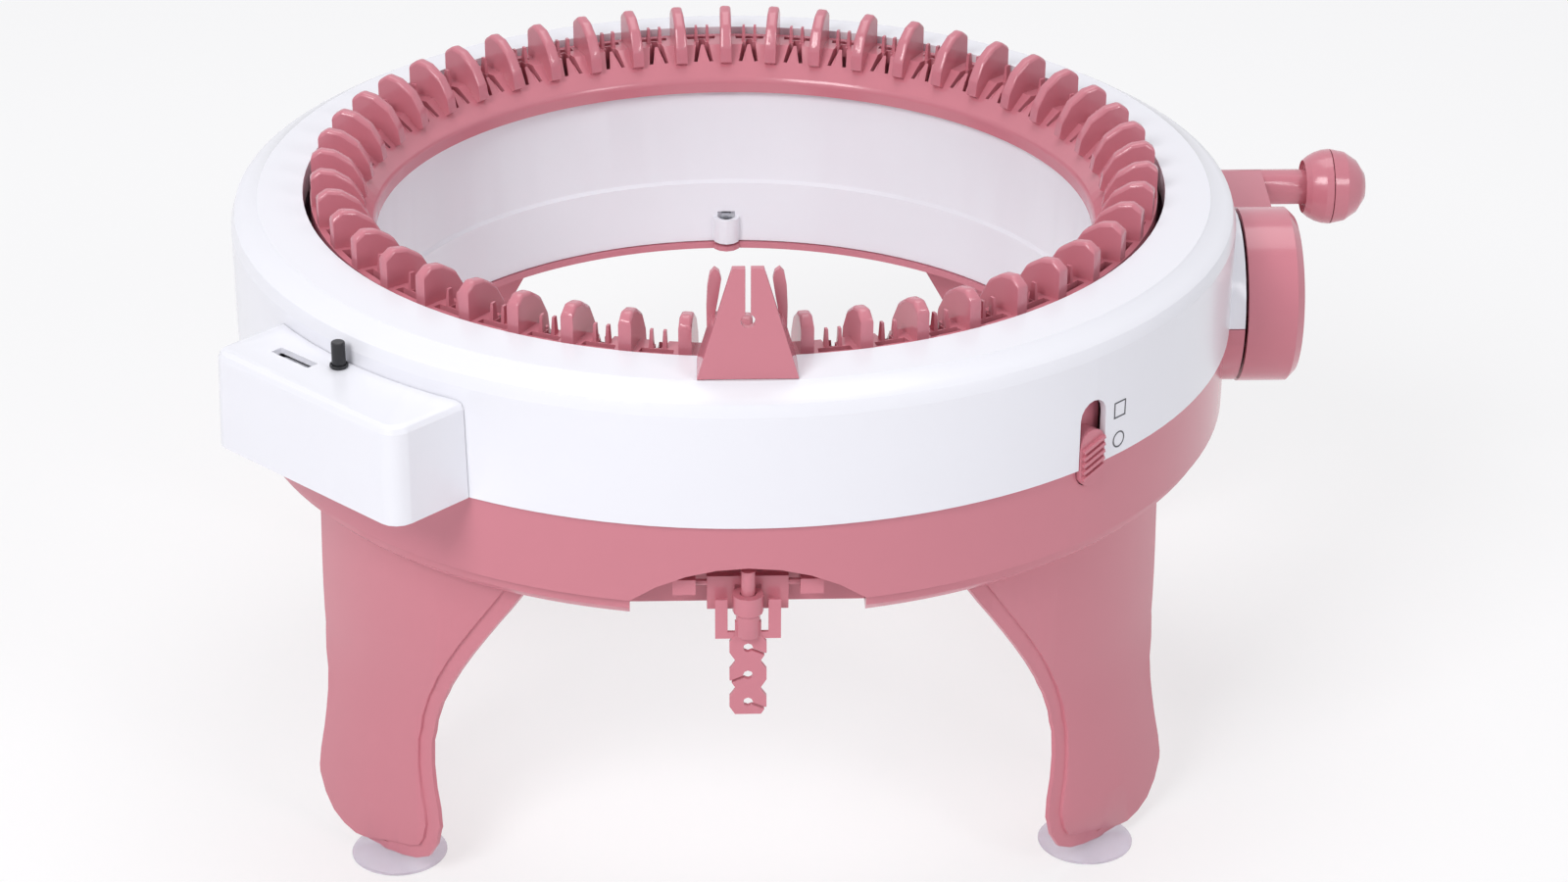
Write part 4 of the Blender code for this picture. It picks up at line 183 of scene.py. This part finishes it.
# Lamps: name, place, width and power
LAMP_AIM = Vector((0.0, 0.0, 0.1))
LAMPS = (
    ("key_lamp", Vector((-1.0, -1.4, 1.5)), 0.8, 21.0),
    ("fill_lamp", Vector((1.3, -1.3, 1.2)), 0.5, 6.0),
    ("top_lamp", Vector((0.0, 0.5, 2.2)), 1.4, 15.0),
)

# Camera
CAMERA_PLACE = Vector((-0.06093, -1.16518, 0.67816))
CAMERA_YAW = math.radians(2.314)
CAMERA_PITCH = math.radians(26.518)
CAMERA_ROLL = math.radians(0.358)
CAMERA_LENS = 82.439
CAMERA_SENSOR = 36.0


def new_material(name):
    """A node material, its tree and its Principled shader."""
    material = bpy.data.materials.new(name)
    material.use_nodes = True
    return material, material.node_tree, material.node_tree.nodes["Principled BSDF"]


def srgb(red, green, blue):
    """A colour given in display values from 0 to 255."""
    colour = Color((red / 255.0, green / 255.0, blue / 255.0)).from_srgb_to_scene_linear()
    return (*colour, 1.0)


def noise(tree, scale, detail):
    """A noise texture in the object's own coordinates."""
    place = tree.nodes.new("ShaderNodeTexCoord")
    texture = tree.nodes.new("ShaderNodeTexNoise")
    texture.inputs["Scale"].default_value = scale
    texture.inputs["Detail"].default_value = detail
    tree.links.new(place.outputs["Object"], texture.inputs["Vector"])
    return texture.outputs["Fac"]


def cloudy_colour(tree, cloud, colour, shade):
    """Two near colours mixed by a cloud."""
    tint = tree.nodes.new("ShaderNodeMix")
    tint.data_type = "RGBA"
    tint.inputs["A"].default_value = colour
    tint.inputs["B"].default_value = shade
    tree.links.new(cloud, tint.inputs["Factor"])
    return tint.outputs["Result"]


def uneven_gloss(tree, cloud, roughness):
    """Roughness that varies a little with a cloud."""
    gloss = tree.nodes.new("ShaderNodeMapRange")
    gloss.inputs["To Min"].default_value = roughness * SMOOTHEST_SHARE
    gloss.inputs["To Max"].default_value = roughness * ROUGHEST_SHARE
    tree.links.new(cloud, gloss.inputs["Value"])
    return gloss.outputs["Result"]


def fine_grain(tree):
    """Faint bumps of a moulded surface."""
    bump = tree.nodes.new("ShaderNodeBump")
    bump.inputs["Strength"].default_value = GRAIN_STRENGTH
    bump.inputs["Distance"].default_value = GRAIN_DEPTH
    tree.links.new(noise(tree, GRAIN_SCALE, GRAIN_DETAIL), bump.inputs["Height"])
    return bump.outputs["Normal"]


def plastic(name, colour, roughness, shade=CLOUD_SHADE):
    """Moulded plastic: faint cloudiness, fine grain and an uneven gloss."""
    material, tree, shader = new_material(name)
    cloud = noise(tree, CLOUD_SCALE, CLOUD_DETAIL)
    darker = [part * shade for part in colour[:3]] + [1.0]
    tree.links.new(cloudy_colour(tree, cloud, colour, darker), shader.inputs["Base Color"])
    tree.links.new(uneven_gloss(tree, cloud, roughness), shader.inputs["Roughness"])
    tree.links.new(fine_grain(tree), shader.inputs["Normal"])
    shader.inputs["IOR"].default_value = PLASTIC_IOR
    return material


def steel(name):
    """Bright steel with a faint cloudiness."""
    material = plastic(name, srgb(196, 198, 202), STEEL_ROUGHNESS)
    material.node_tree.nodes["Principled BSDF"].inputs["Metallic"].default_value = 1.0
    return material


def clear_rubber(name):
    """Soft see-through rubber with a faint lilac tint."""
    material = plastic(name, srgb(240, 234, 244), RUBBER_ROUGHNESS)
    shader = material.node_tree.nodes["Principled BSDF"]
    shader.inputs["Transmission Weight"].default_value = RUBBER_CLEARNESS
    shader.inputs["IOR"].default_value = RUBBER_IOR
    return material


FINISHES = {
    "pink_plastic": plastic("pink_moulding", srgb(207, 127, 140), 0.17),
    "white_plastic": plastic("white_moulding", srgb(240, 240, 246), 0.24, WHITE_CLOUD_SHADE),
    "nylon": plastic("nylon_moulding", srgb(228, 226, 222), 0.42),
    "black_plastic": plastic("black_moulding", srgb(28, 28, 32), 0.35),
    "steel": steel("bright_steel"),
    "clear_rubber": clear_rubber("cup_rubber"),
    "print": plastic("grey_print", srgb(70, 70, 76), 0.5),
}


def cleaned(node):
    """A node's shape with shared corners and whole flat faces."""
    work = bmesh.new()
    work.from_mesh(NODES[node].data)
    bmesh.ops.remove_doubles(work, verts=work.verts, dist=MERGE)
    bmesh.ops.dissolve_limit(work, angle_limit=FLAT_ANGLE, verts=work.verts, edges=work.edges)
    return work


def slice_shape(work, place, normal):
    """New edges where a plane crosses a shape."""
    everything = work.verts[:] + work.edges[:] + work.faces[:]
    bmesh.ops.bisect_plane(work, geom=everything, dist=MERGE, plane_co=place, plane_no=normal)


def axis_frame(place, direction):
    """Matrix to the world from a frame whose Z axis is the given axis."""
    return Matrix.Translation(place) @ direction.to_track_quat("Z", "Y").to_matrix().to_4x4()


def corner_phase(work, radius, step):
    """Angle at which a faceted wall has its corners."""
    places = [vert.co for vert in work.verts]
    on_wall = [place for place in places if abs(place.xy.length - radius) < TOLERANCE]
    turns = [math.tau * math.atan2(place.y, place.x) / step for place in on_wall]
    return math.atan2(sum(map(math.sin, turns)), sum(map(math.cos, turns))) * step / math.tau


def slice_facets(work, phase, step):
    """More corners in each facet, in planes through the axis."""
    part = step / FACET_SLICES
    for index in range(round(math.pi / part)):
        if index % FACET_SLICES:
            angle = phase + part * index
            slice_shape(work, (0.0, 0.0, 0.0), (-math.sin(angle), math.cos(angle), 0.0))


def rounded(work, place, direction, steps, radius):
    """Bends the flat facets of a round wall, and of what lies within it, into arcs."""
    to_world = axis_frame(place, direction)
    bmesh.ops.transform(work, matrix=to_world.inverted(), verts=work.verts)
    step = math.tau / steps
    flat_share = math.cos(step / 2.0)
    phase = corner_phase(work, radius, step)
    slice_facets(work, phase, step)
    for vert in work.verts:
        turn = (math.atan2(vert.co.y, vert.co.x) - phase) % step - step / 2.0
        if vert.co.xy.length * math.cos(turn) <= radius * flat_share + TOLERANCE:
            vert.co.xy *= math.cos(turn) / flat_share
    bmesh.ops.transform(work, matrix=to_world, verts=work.verts)


def mesh_of(work, name, finish):
    """The finished mesh of a worked shape, smooth but for its sharp edges."""
    for face in work.faces:
        face.smooth = True
    mesh = bpy.data.meshes.new(name)
    work.to_mesh(mesh)
    work.free()
    mesh.materials.append(FINISHES[finish])
    mesh.set_sharp_from_angle(angle=SHARP_ANGLE)
    return mesh


def new_piece(name, work, body, finish):
    """A piece that rides on a body."""
    piece = bpy.data.objects.new(name, mesh_of(work, name, finish))
    bpy.context.scene.collection.objects.link(piece)
    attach(piece, body)
    return piece


def skin(node, work):
    """A worked shape in its node's place."""
    piece = new_piece(node + "_skin", work, BODY_OF[node], NODES[node].data.materials[0].name)
    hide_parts(node)
    return piece


def round_edges(piece, width):
    """Small rounds on all the sharp edges."""
    bevel = piece.modifiers.new("rounded_edges", "BEVEL")
    bevel.width = width
    bevel.segments = EDGE_SEGMENTS
    bevel.limit_method = "ANGLE"
    bevel.angle_limit = SHARP_ANGLE
    bevel.harden_normals = True


def middle_of(node):
    """Middle of a node's box."""
    low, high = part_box(node)
    return (Vector(low) + Vector(high)) / 2.0


def polar(radius, side, angle, height):
    """A world place from a radius, a sideways reach, an angle and a height on the machine."""
    reach = Matrix.Rotation(angle, 3, "Z") @ Vector((radius, side, 0.0))
    return MACHINE_PLACE + reach + UP * height


def radius_and_height(vert):
    """A corner's radius and height on the machine."""
    reach = vert.co - MACHINE_PLACE
    return reach.xy.length, reach.z


def add_sides(work, low, high):
    """Faces between two loops of corners."""
    for index in range(len(low)):
        after = (index + 1) % len(low)
        work.faces.new((low[index], low[after], high[after], high[index]))


def add_solid(work, loops):
    """Closed solid through a row of loops."""
    for low, high in zip(loops, loops[1:]):
        add_sides(work, low, high)
    work.faces.new(loops[0][::-1])
    work.faces.new(loops[-1])


def add_prism(work, outline, angle):
    """Upright prism through the bed, over an outline of radius and side."""
    loops = []
    for height in (CUT_BOTTOM, CUT_TOP):
        places = [polar(radius, side, angle, height) for radius, side in outline]
        loops.append([work.verts.new(place) for place in places])
    add_solid(work, loops)


def outward_faces(work):
    """Turns all the faces outward."""
    bmesh.ops.recalc_face_normals(work, faces=work.faces)


def slot_angles():
    """The angles midway between the fins."""
    return [NEEDLE_ANGLE * (index + 0.5) for index in range(NEEDLE_COUNT)]


def object_from(name, work):
    """A plain object from a shape."""
    mesh = bpy.data.meshes.new(name)
    work.to_mesh(mesh)
    work.free()
    obj = bpy.data.objects.new(name, mesh)
    bpy.context.scene.collection.objects.link(obj)
    return obj


def bed_cutter():
    """The pairs of slots that spread apart down the bed's cone, and the hollows behind the prongs."""
    work = bmesh.new()
    mirrored = [(radius, -side) for radius, side in SLOT_OUTLINE]
    for angle in slot_angles():
        for outline in (SLOT_OUTLINE, mirrored, POCKET_OUTLINE):
            add_prism(work, outline, angle)
    outward_faces(work)
    return object_from("bed_cutter", work)


def cut_bed(work):
    """The bed's shape with its slots and hollows cut in."""
    bed = object_from("bed_uncut", work)
    cutter = bed_cutter()
    cut = bed.modifiers.new("slots", "BOOLEAN")
    cut.operation = "DIFFERENCE"
    cut.solver = "EXACT"
    cut.object = cutter
    bpy.context.view_layer.update()
    shape = bed.evaluated_get(bpy.context.evaluated_depsgraph_get())
    result = bmesh.new()
    result.from_mesh(shape.to_mesh())
    bpy.data.objects.remove(bed)
    bpy.data.objects.remove(cutter)
    bmesh.ops.remove_doubles(result, verts=result.verts, dist=MERGE)
    return result


def on_fin(vert):
    """Whether a corner belongs to a fin above the bed."""
    reach = vert.co - MACHINE_PLACE
    turn = math.remainder(math.atan2(reach.y, reach.x), NEEDLE_ANGLE)
    side = reach.xy.length * math.sin(turn)
    return reach.z > FIN_FOOT_HEIGHT and abs(side) < FIN_HALF_THICKNESS


def on_lip(vert):
    """Whether a corner belongs to the bead between the bed's cone and its inner wall."""
    radius, height = radius_and_height(vert)
    return abs(radius - LIP_RADIUS) < TOLERANCE and abs(height - LIP_BAND_TOP) < TOLERANCE


def make_bed():
    """Needle bed with round walls, full rounds on the fins and lip, and its paired slots."""
    work = cleaned("needle_bed")
    rounded(work, MACHINE_PLACE, UP, WALL_STEPS, BED_RADIUS)
    work = cut_bed(work)
    weights = work.edges.layers.float.new("bevel_weight_edge")
    for edge in work.edges:
        edge[weights] = float(all(map(on_fin, edge.verts)) or all(map(on_lip, edge.verts)))
    bed = skin("needle_bed", work)
    fins = bed.modifiers.new("round_fins", "BEVEL")
    fins.width = FIN_ROUND
    fins.segments = FIN_SEGMENTS
    fins.limit_method = "WEIGHT"
    fins.harden_normals = False
    round_edges(bed, FINE_ROUND)


def make_wedges():
    """Bright wedge between each pair of slots, flush with the cone."""
    work = bmesh.new()
    for angle in slot_angles():
        loops = []
        for radius, half, bottom, top in WEDGE_ENDS:
            corners = ((-half, bottom), (half, bottom), (half, top), (-half, top))
            places = [polar(radius, side, angle, height) for side, height in corners]
            loops.append([work.verts.new(place) for place in places])
        add_solid(work, loops)
    outward_faces(work)
    round_edges(new_piece("bed_wedges", work, "bed", "pink_plastic"), FINE_ROUND)


def needle_path():
    """Middle line of a latch needle, from its foot up and over the hook."""
    path = [(NEEDLE_RADIUS, NEEDLE_BOTTOM), (NEEDLE_RADIUS, NEEDLE_SHOULDER)]
    centre = NEEDLE_RADIUS + HOOK_RADIUS
    height = HOOK_TOP - HOOK_RADIUS
    for index in range(HOOK_STEPS + 1):
        turn = math.pi - HOOK_ARC * index / HOOK_STEPS
        path.append((centre + HOOK_RADIUS * math.cos(turn), height + HOOK_RADIUS * math.sin(turn)))
    return path


def add_strip(work, path, half_width, half_depth, angle):
    """Flat bar along a path of radius and height in the plane of one needle."""
    loops = []
    for index, (radius, height) in enumerate(path):
        before = Vector(path[max(index - 1, 0)])
        after = Vector(path[min(index + 1, len(path) - 1)])
        across = (after - before).orthogonal().normalized() * half_depth
        loop = []
        for side, turn in ((-1.0, -1.0), (1.0, -1.0), (1.0, 1.0), (-1.0, 1.0)):
            outward, upward = across * turn
            place = polar(radius + outward, half_width * side, angle, height + upward)
            loop.append(work.verts.new(place))
        loops.append(loop)
    add_solid(work, loops)


def make_needles():
    """Latch needles in the grooves of the drum."""
    work = bmesh.new()
    hinge = (NEEDLE_RADIUS + LATCH_HINGE_REACH, NEEDLE_SHOULDER + NEEDLE_HALF_DEPTH)
    spoon = (NEEDLE_RADIUS + LATCH_SPOON_REACH, hinge[1] - LATCH_LENGTH)
    butt_middle = NEEDLE_BOTTOM + BUTT_HEIGHT
    butt = [(NEEDLE_RADIUS, butt_middle), (BUTT_RADIUS, butt_middle)]
    for angle in slot_angles():
        add_strip(work, needle_path(), NEEDLE_HALF_WIDTH, NEEDLE_HALF_DEPTH, angle)
        add_strip(work, [hinge, spoon], NEEDLE_HALF_WIDTH, NEEDLE_HALF_WIDTH, angle)
        add_strip(work, butt, NEEDLE_HALF_WIDTH, BUTT_HEIGHT / 2.0, angle)
    outward_faces(work)
    new_piece("latch_needles", work, "bed", "steel")


def on_rim_edge(vert):
    """Whether a corner belongs to the edge between the flat rim and its shoulder."""
    radius, height = radius_and_height(vert)
    return abs(radius - STEP_RADIUS) < TOLERANCE and height > STEP_LOWEST


def step_rim(work):
    """The small step down from the flat rim to its shoulder."""
    edges = [edge for edge in work.edges if all(map(on_rim_edge, edge.verts))]
    bmesh.ops.bevel(work, geom=edges, offset=STEP_HALF_WIDTH, segments=1, affect="EDGES")
    for vert in work.verts:
        radius, height = radius_and_height(vert)
        if radius > STEP_RADIUS and height > STEP_LOWEST:
            vert.co.z -= STEP_DROP


def make_upper_housing():
    """White ring with round walls and the step round its rim."""
    work = cleaned("upper_housing")
    rounded(work, MACHINE_PLACE, UP, WALL_STEPS, UPPER_RADIUS)
    step_rim(work)
    round_edges(skin("upper_housing", work), EDGE_ROUND)


def digit_shape(digit):
    """A plain digit, flat and cut into narrow bands."""
    curve = bpy.data.curves.new("digit", "FONT")
    curve.body = str(digit)
    curve.size = DIGIT_HEIGHT
    curve.extrude = DIGIT_PRINT
    curve.align_x = "CENTER"
    curve.align_y = "CENTER"
    holder = bpy.data.objects.new("digit", curve)
    work = bmesh.new()
    work.from_mesh(holder.to_mesh())
    bpy.data.objects.remove(holder)
    bmesh.ops.remove_doubles(work, verts=work.verts, dist=MERGE)
    for index in range(1, DIGIT_BANDS):
        height = DIGIT_HEIGHT * (index / DIGIT_BANDS - 0.5)
        slice_shape(work, (0.0, height, 0.0), (0.0, 1.0, 0.0))
    return work


def make_digits(wheel):
    """The digits printed round a wheel, the zero on top."""
    centre = middle_of(wheel)
    printed = bmesh.new()
    for digit in range(DIGIT_COUNT):
        shape = digit_shape(digit)
        for vert in shape.verts:
            turn = vert.co.y / WHEEL_RADIUS - math.tau * digit / DIGIT_COUNT
            outward = WHEEL_INWARD * math.sin(turn) + UP * math.cos(turn)
            reach = WHEEL_RADIUS + DIGIT_PRINT + vert.co.z
            vert.co = centre + WHEEL_DIRECTION * vert.co.x + outward * reach
        part = bpy.data.meshes.new("digit")
        shape.to_mesh(part)
        shape.free()
        printed.from_mesh(part)
        bpy.data.meshes.remove(part)
    new_piece(wheel + "_digits", printed, BODY_OF[wheel], "print")


def ring_sign(name, outer, inner, height):
    """Outline printed on the white wall, between two loops of side and height."""
    work = bmesh.new()
    layers = []
    for radius in (UPPER_RADIUS, UPPER_RADIUS + SIGN_PRINT):
        for loop in (outer, inner):
            places = [polar(radius, 0.0, SIGN_ANGLE + side / radius, height + up) for side, up in loop]
            layers.append([work.verts.new(place) for place in places])
    for first, second in ((0, 1), (1, 3), (3, 2), (2, 0)):
        add_sides(work, layers[first], layers[second])
    outward_faces(work)
    new_piece(name, work, "frame", "print")


def square_loop(half):
    """Corners of a square, given half its side."""
    return [(-half, -half), (half, -half), (half, half), (-half, half)]


def circle_loop(radius):
    """Points round a circle."""
    turns = [math.tau * index / CIRCLE_STEPS for index in range(CIRCLE_STEPS)]
    return [(radius * math.cos(turn), radius * math.sin(turn)) for turn in turns]


def make_signs():
    """A square for flat panels and a circle for tubes."""
    inner = SIGN_HALF - SIGN_LINE
    ring_sign("panel_sign", square_loop(SIGN_HALF), square_loop(inner), SQUARE_HEIGHT)
    ring_sign("tube_sign", circle_loop(SIGN_HALF), circle_loop(inner), CIRCLE_HEIGHT)


def round_forms():
    """Edge round of each node with a round wall, and its axis, facets and radius."""
    forms = {
        "lower_housing": (EDGE_ROUND, MACHINE_PLACE, UP, WALL_STEPS, LOWER_RADIUS),
        "inner_liner": (EDGE_ROUND, MACHINE_PLACE, UP, WALL_STEPS, LINER_RADIUS),
    }
    for leg in LEG_NODES:
        forms[leg] = (EDGE_ROUND, MACHINE_PLACE, UP, WALL_STEPS, LEG_RADIUS)
    forms["crank"] = (WIDE_ROUND, MACHINE_PLACE, CRANK_DIRECTION, DISC_STEPS, DISC_RADIUS)
    for knob in KNOB_NODES:
        forms[knob] = (FINE_ROUND, middle_of(knob), CRANK_DIRECTION, KNOB_STEPS, KNOB_RADIUS)
    for cup in CUP_NODES:
        forms[cup] = (FINE_ROUND, middle_of(cup), UP, CUP_STEPS, CUP_RADIUS)
    for wheel in WHEEL_NODES:
        forms[wheel] = (FINE_ROUND, middle_of(wheel), WHEEL_DIRECTION, WHEEL_STEPS, WHEEL_RADIUS)
    return forms


def make_round_pieces(forms):
    """The pieces with a round wall, each digit wheel followed by its digits."""
    for node, (width, *wall) in forms.items():
        work = cleaned(node)
        rounded(work, *wall)
        round_edges(skin(node, work), width)
        if node in WHEEL_NODES:
            make_digits(node)


def make_machine():
    """All the pieces of the machine."""
    forms = round_forms()
    make_bed()
    make_upper_housing()
    make_wedges()
    make_needles()
    make_round_pieces(forms)
    made = {"needle_bed", "upper_housing", *forms}
    for node in NODES:
        if node not in made:
            width = WIDE_ROUND if node == "yarn_feeder" else EDGE_ROUND
            round_edges(skin(node, cleaned(node)), width)
    make_signs()


def math_node(tree, operation, first, second):
    """Two values joined by an operation, the second a plain number or a socket."""
    node = tree.nodes.new("ShaderNodeMath")
    node.operation = operation
    tree.links.new(first, node.inputs[0])
    if isinstance(second, float):
        node.inputs[1].default_value = second
    else:
        tree.links.new(second, node.inputs[1])
    return node.outputs["Value"]


def seen_share(tree, share):
    """The share on rays that show or mirror the surround, and none on rays that light the machine."""
    rays = tree.nodes.new("ShaderNodeLightPath").outputs
    seen = math_node(tree, "MAXIMUM", rays["Is Camera Ray"], rays["Is Glossy Ray"])
    seen = math_node(tree, "MAXIMUM", seen, rays["Is Transmission Ray"])
    return math_node(tree, "MULTIPLY", seen, share)


def floor_material():
    """A white floor that keeps the machine's shadow."""
    material, tree, shader = new_material("studio_floor")
    cloud = noise(tree, FLOOR_CLOUD_SCALE, FLOOR_CLOUD_DETAIL)
    colour = cloudy_colour(tree, cloud, FLOOR_COLOUR, FLOOR_CLOUD_COLOUR)
    tree.links.new(colour, shader.inputs["Base Color"])
    shader.inputs["Roughness"].default_value = FLOOR_ROUGHNESS
    white = tree.nodes.new("ShaderNodeEmission")
    white.inputs["Strength"].default_value = 1.0
    mixed = tree.nodes.new("ShaderNodeMixShader")
    tree.links.new(seen_share(tree, FLOOR_WHITE_SHARE), mixed.inputs["Fac"])
    tree.links.new(shader.outputs["BSDF"], mixed.inputs[1])
    tree.links.new(white.outputs["Emission"], mixed.inputs[2])
    tree.links.new(mixed.outputs["Shader"], tree.nodes["Material Output"].inputs["Surface"])
    return material


def make_floor():
    """The plain floor under the cups."""
    corners = [(side, depth, 0.0) for side, depth in square_loop(FLOOR_HALF)]
    mesh = bpy.data.meshes.new("floor")
    mesh.from_pydata(corners, [], [(0, 1, 2, 3)])
    mesh.materials.append(floor_material())
    floor = bpy.data.objects.new("floor", mesh)
    bpy.context.scene.collection.objects.link(floor)
    floor.location.z = -FLOOR_DROP


def make_lamp(name, place, size, power):
    """A soft square lamp that faces the machine."""
    light = bpy.data.lights.new(name, "AREA")
    light.energy = power
    light.size = size
    lamp = bpy.data.objects.new(name, light)
    bpy.context.scene.collection.objects.link(lamp)
    lamp.location = place
    lamp.rotation_euler = (LAMP_AIM - place).to_track_quat("-Z", "Y").to_euler()


def make_world():
    """An even pale surround, white where it is seen or mirrored."""
    world = bpy.data.worlds.new("studio")
    bpy.context.scene.world = world
    world.use_nodes = True
    tree = world.node_tree
    background = tree.nodes["Background"]
    background.inputs["Color"].default_value = WORLD_COLOUR
    strength = math_node(tree, "ADD", seen_share(tree, 1.0 - WORLD_LIGHT), WORLD_LIGHT)
    tree.links.new(strength, background.inputs["Strength"])


def camera_turn():
    """The camera's axes: to its right, up and back."""
    level = math.cos(CAMERA_PITCH)
    ahead = Vector((math.sin(CAMERA_YAW), math.cos(CAMERA_YAW), 0.0)) * level
    forward = ahead - UP * math.sin(CAMERA_PITCH)
    right = Vector((math.cos(CAMERA_YAW), -math.sin(CAMERA_YAW), 0.0))
    upward = right.cross(forward)
    side = right * math.cos(CAMERA_ROLL) + upward * math.sin(CAMERA_ROLL)
    top = upward * math.cos(CAMERA_ROLL) - right * math.sin(CAMERA_ROLL)
    return Matrix((side, top, -forward)).transposed()


def make_camera():
    """The camera at the photograph's place and angle."""
    data = bpy.data.cameras.new("photo_camera")
    data.sensor_width = CAMERA_SENSOR
    data.lens = CAMERA_LENS
    camera = bpy.data.objects.new("photo_camera", data)
    bpy.context.scene.collection.objects.link(camera)
    camera.matrix_world = Matrix.Translation(CAMERA_PLACE) @ camera_turn().to_4x4()
    bpy.context.scene.camera = camera


make_machine()
make_floor()
make_world()
for lamp_values in LAMPS:
    make_lamp(*lamp_values)
make_camera()
bpy.context.scene.view_settings.view_transform = "Standard"
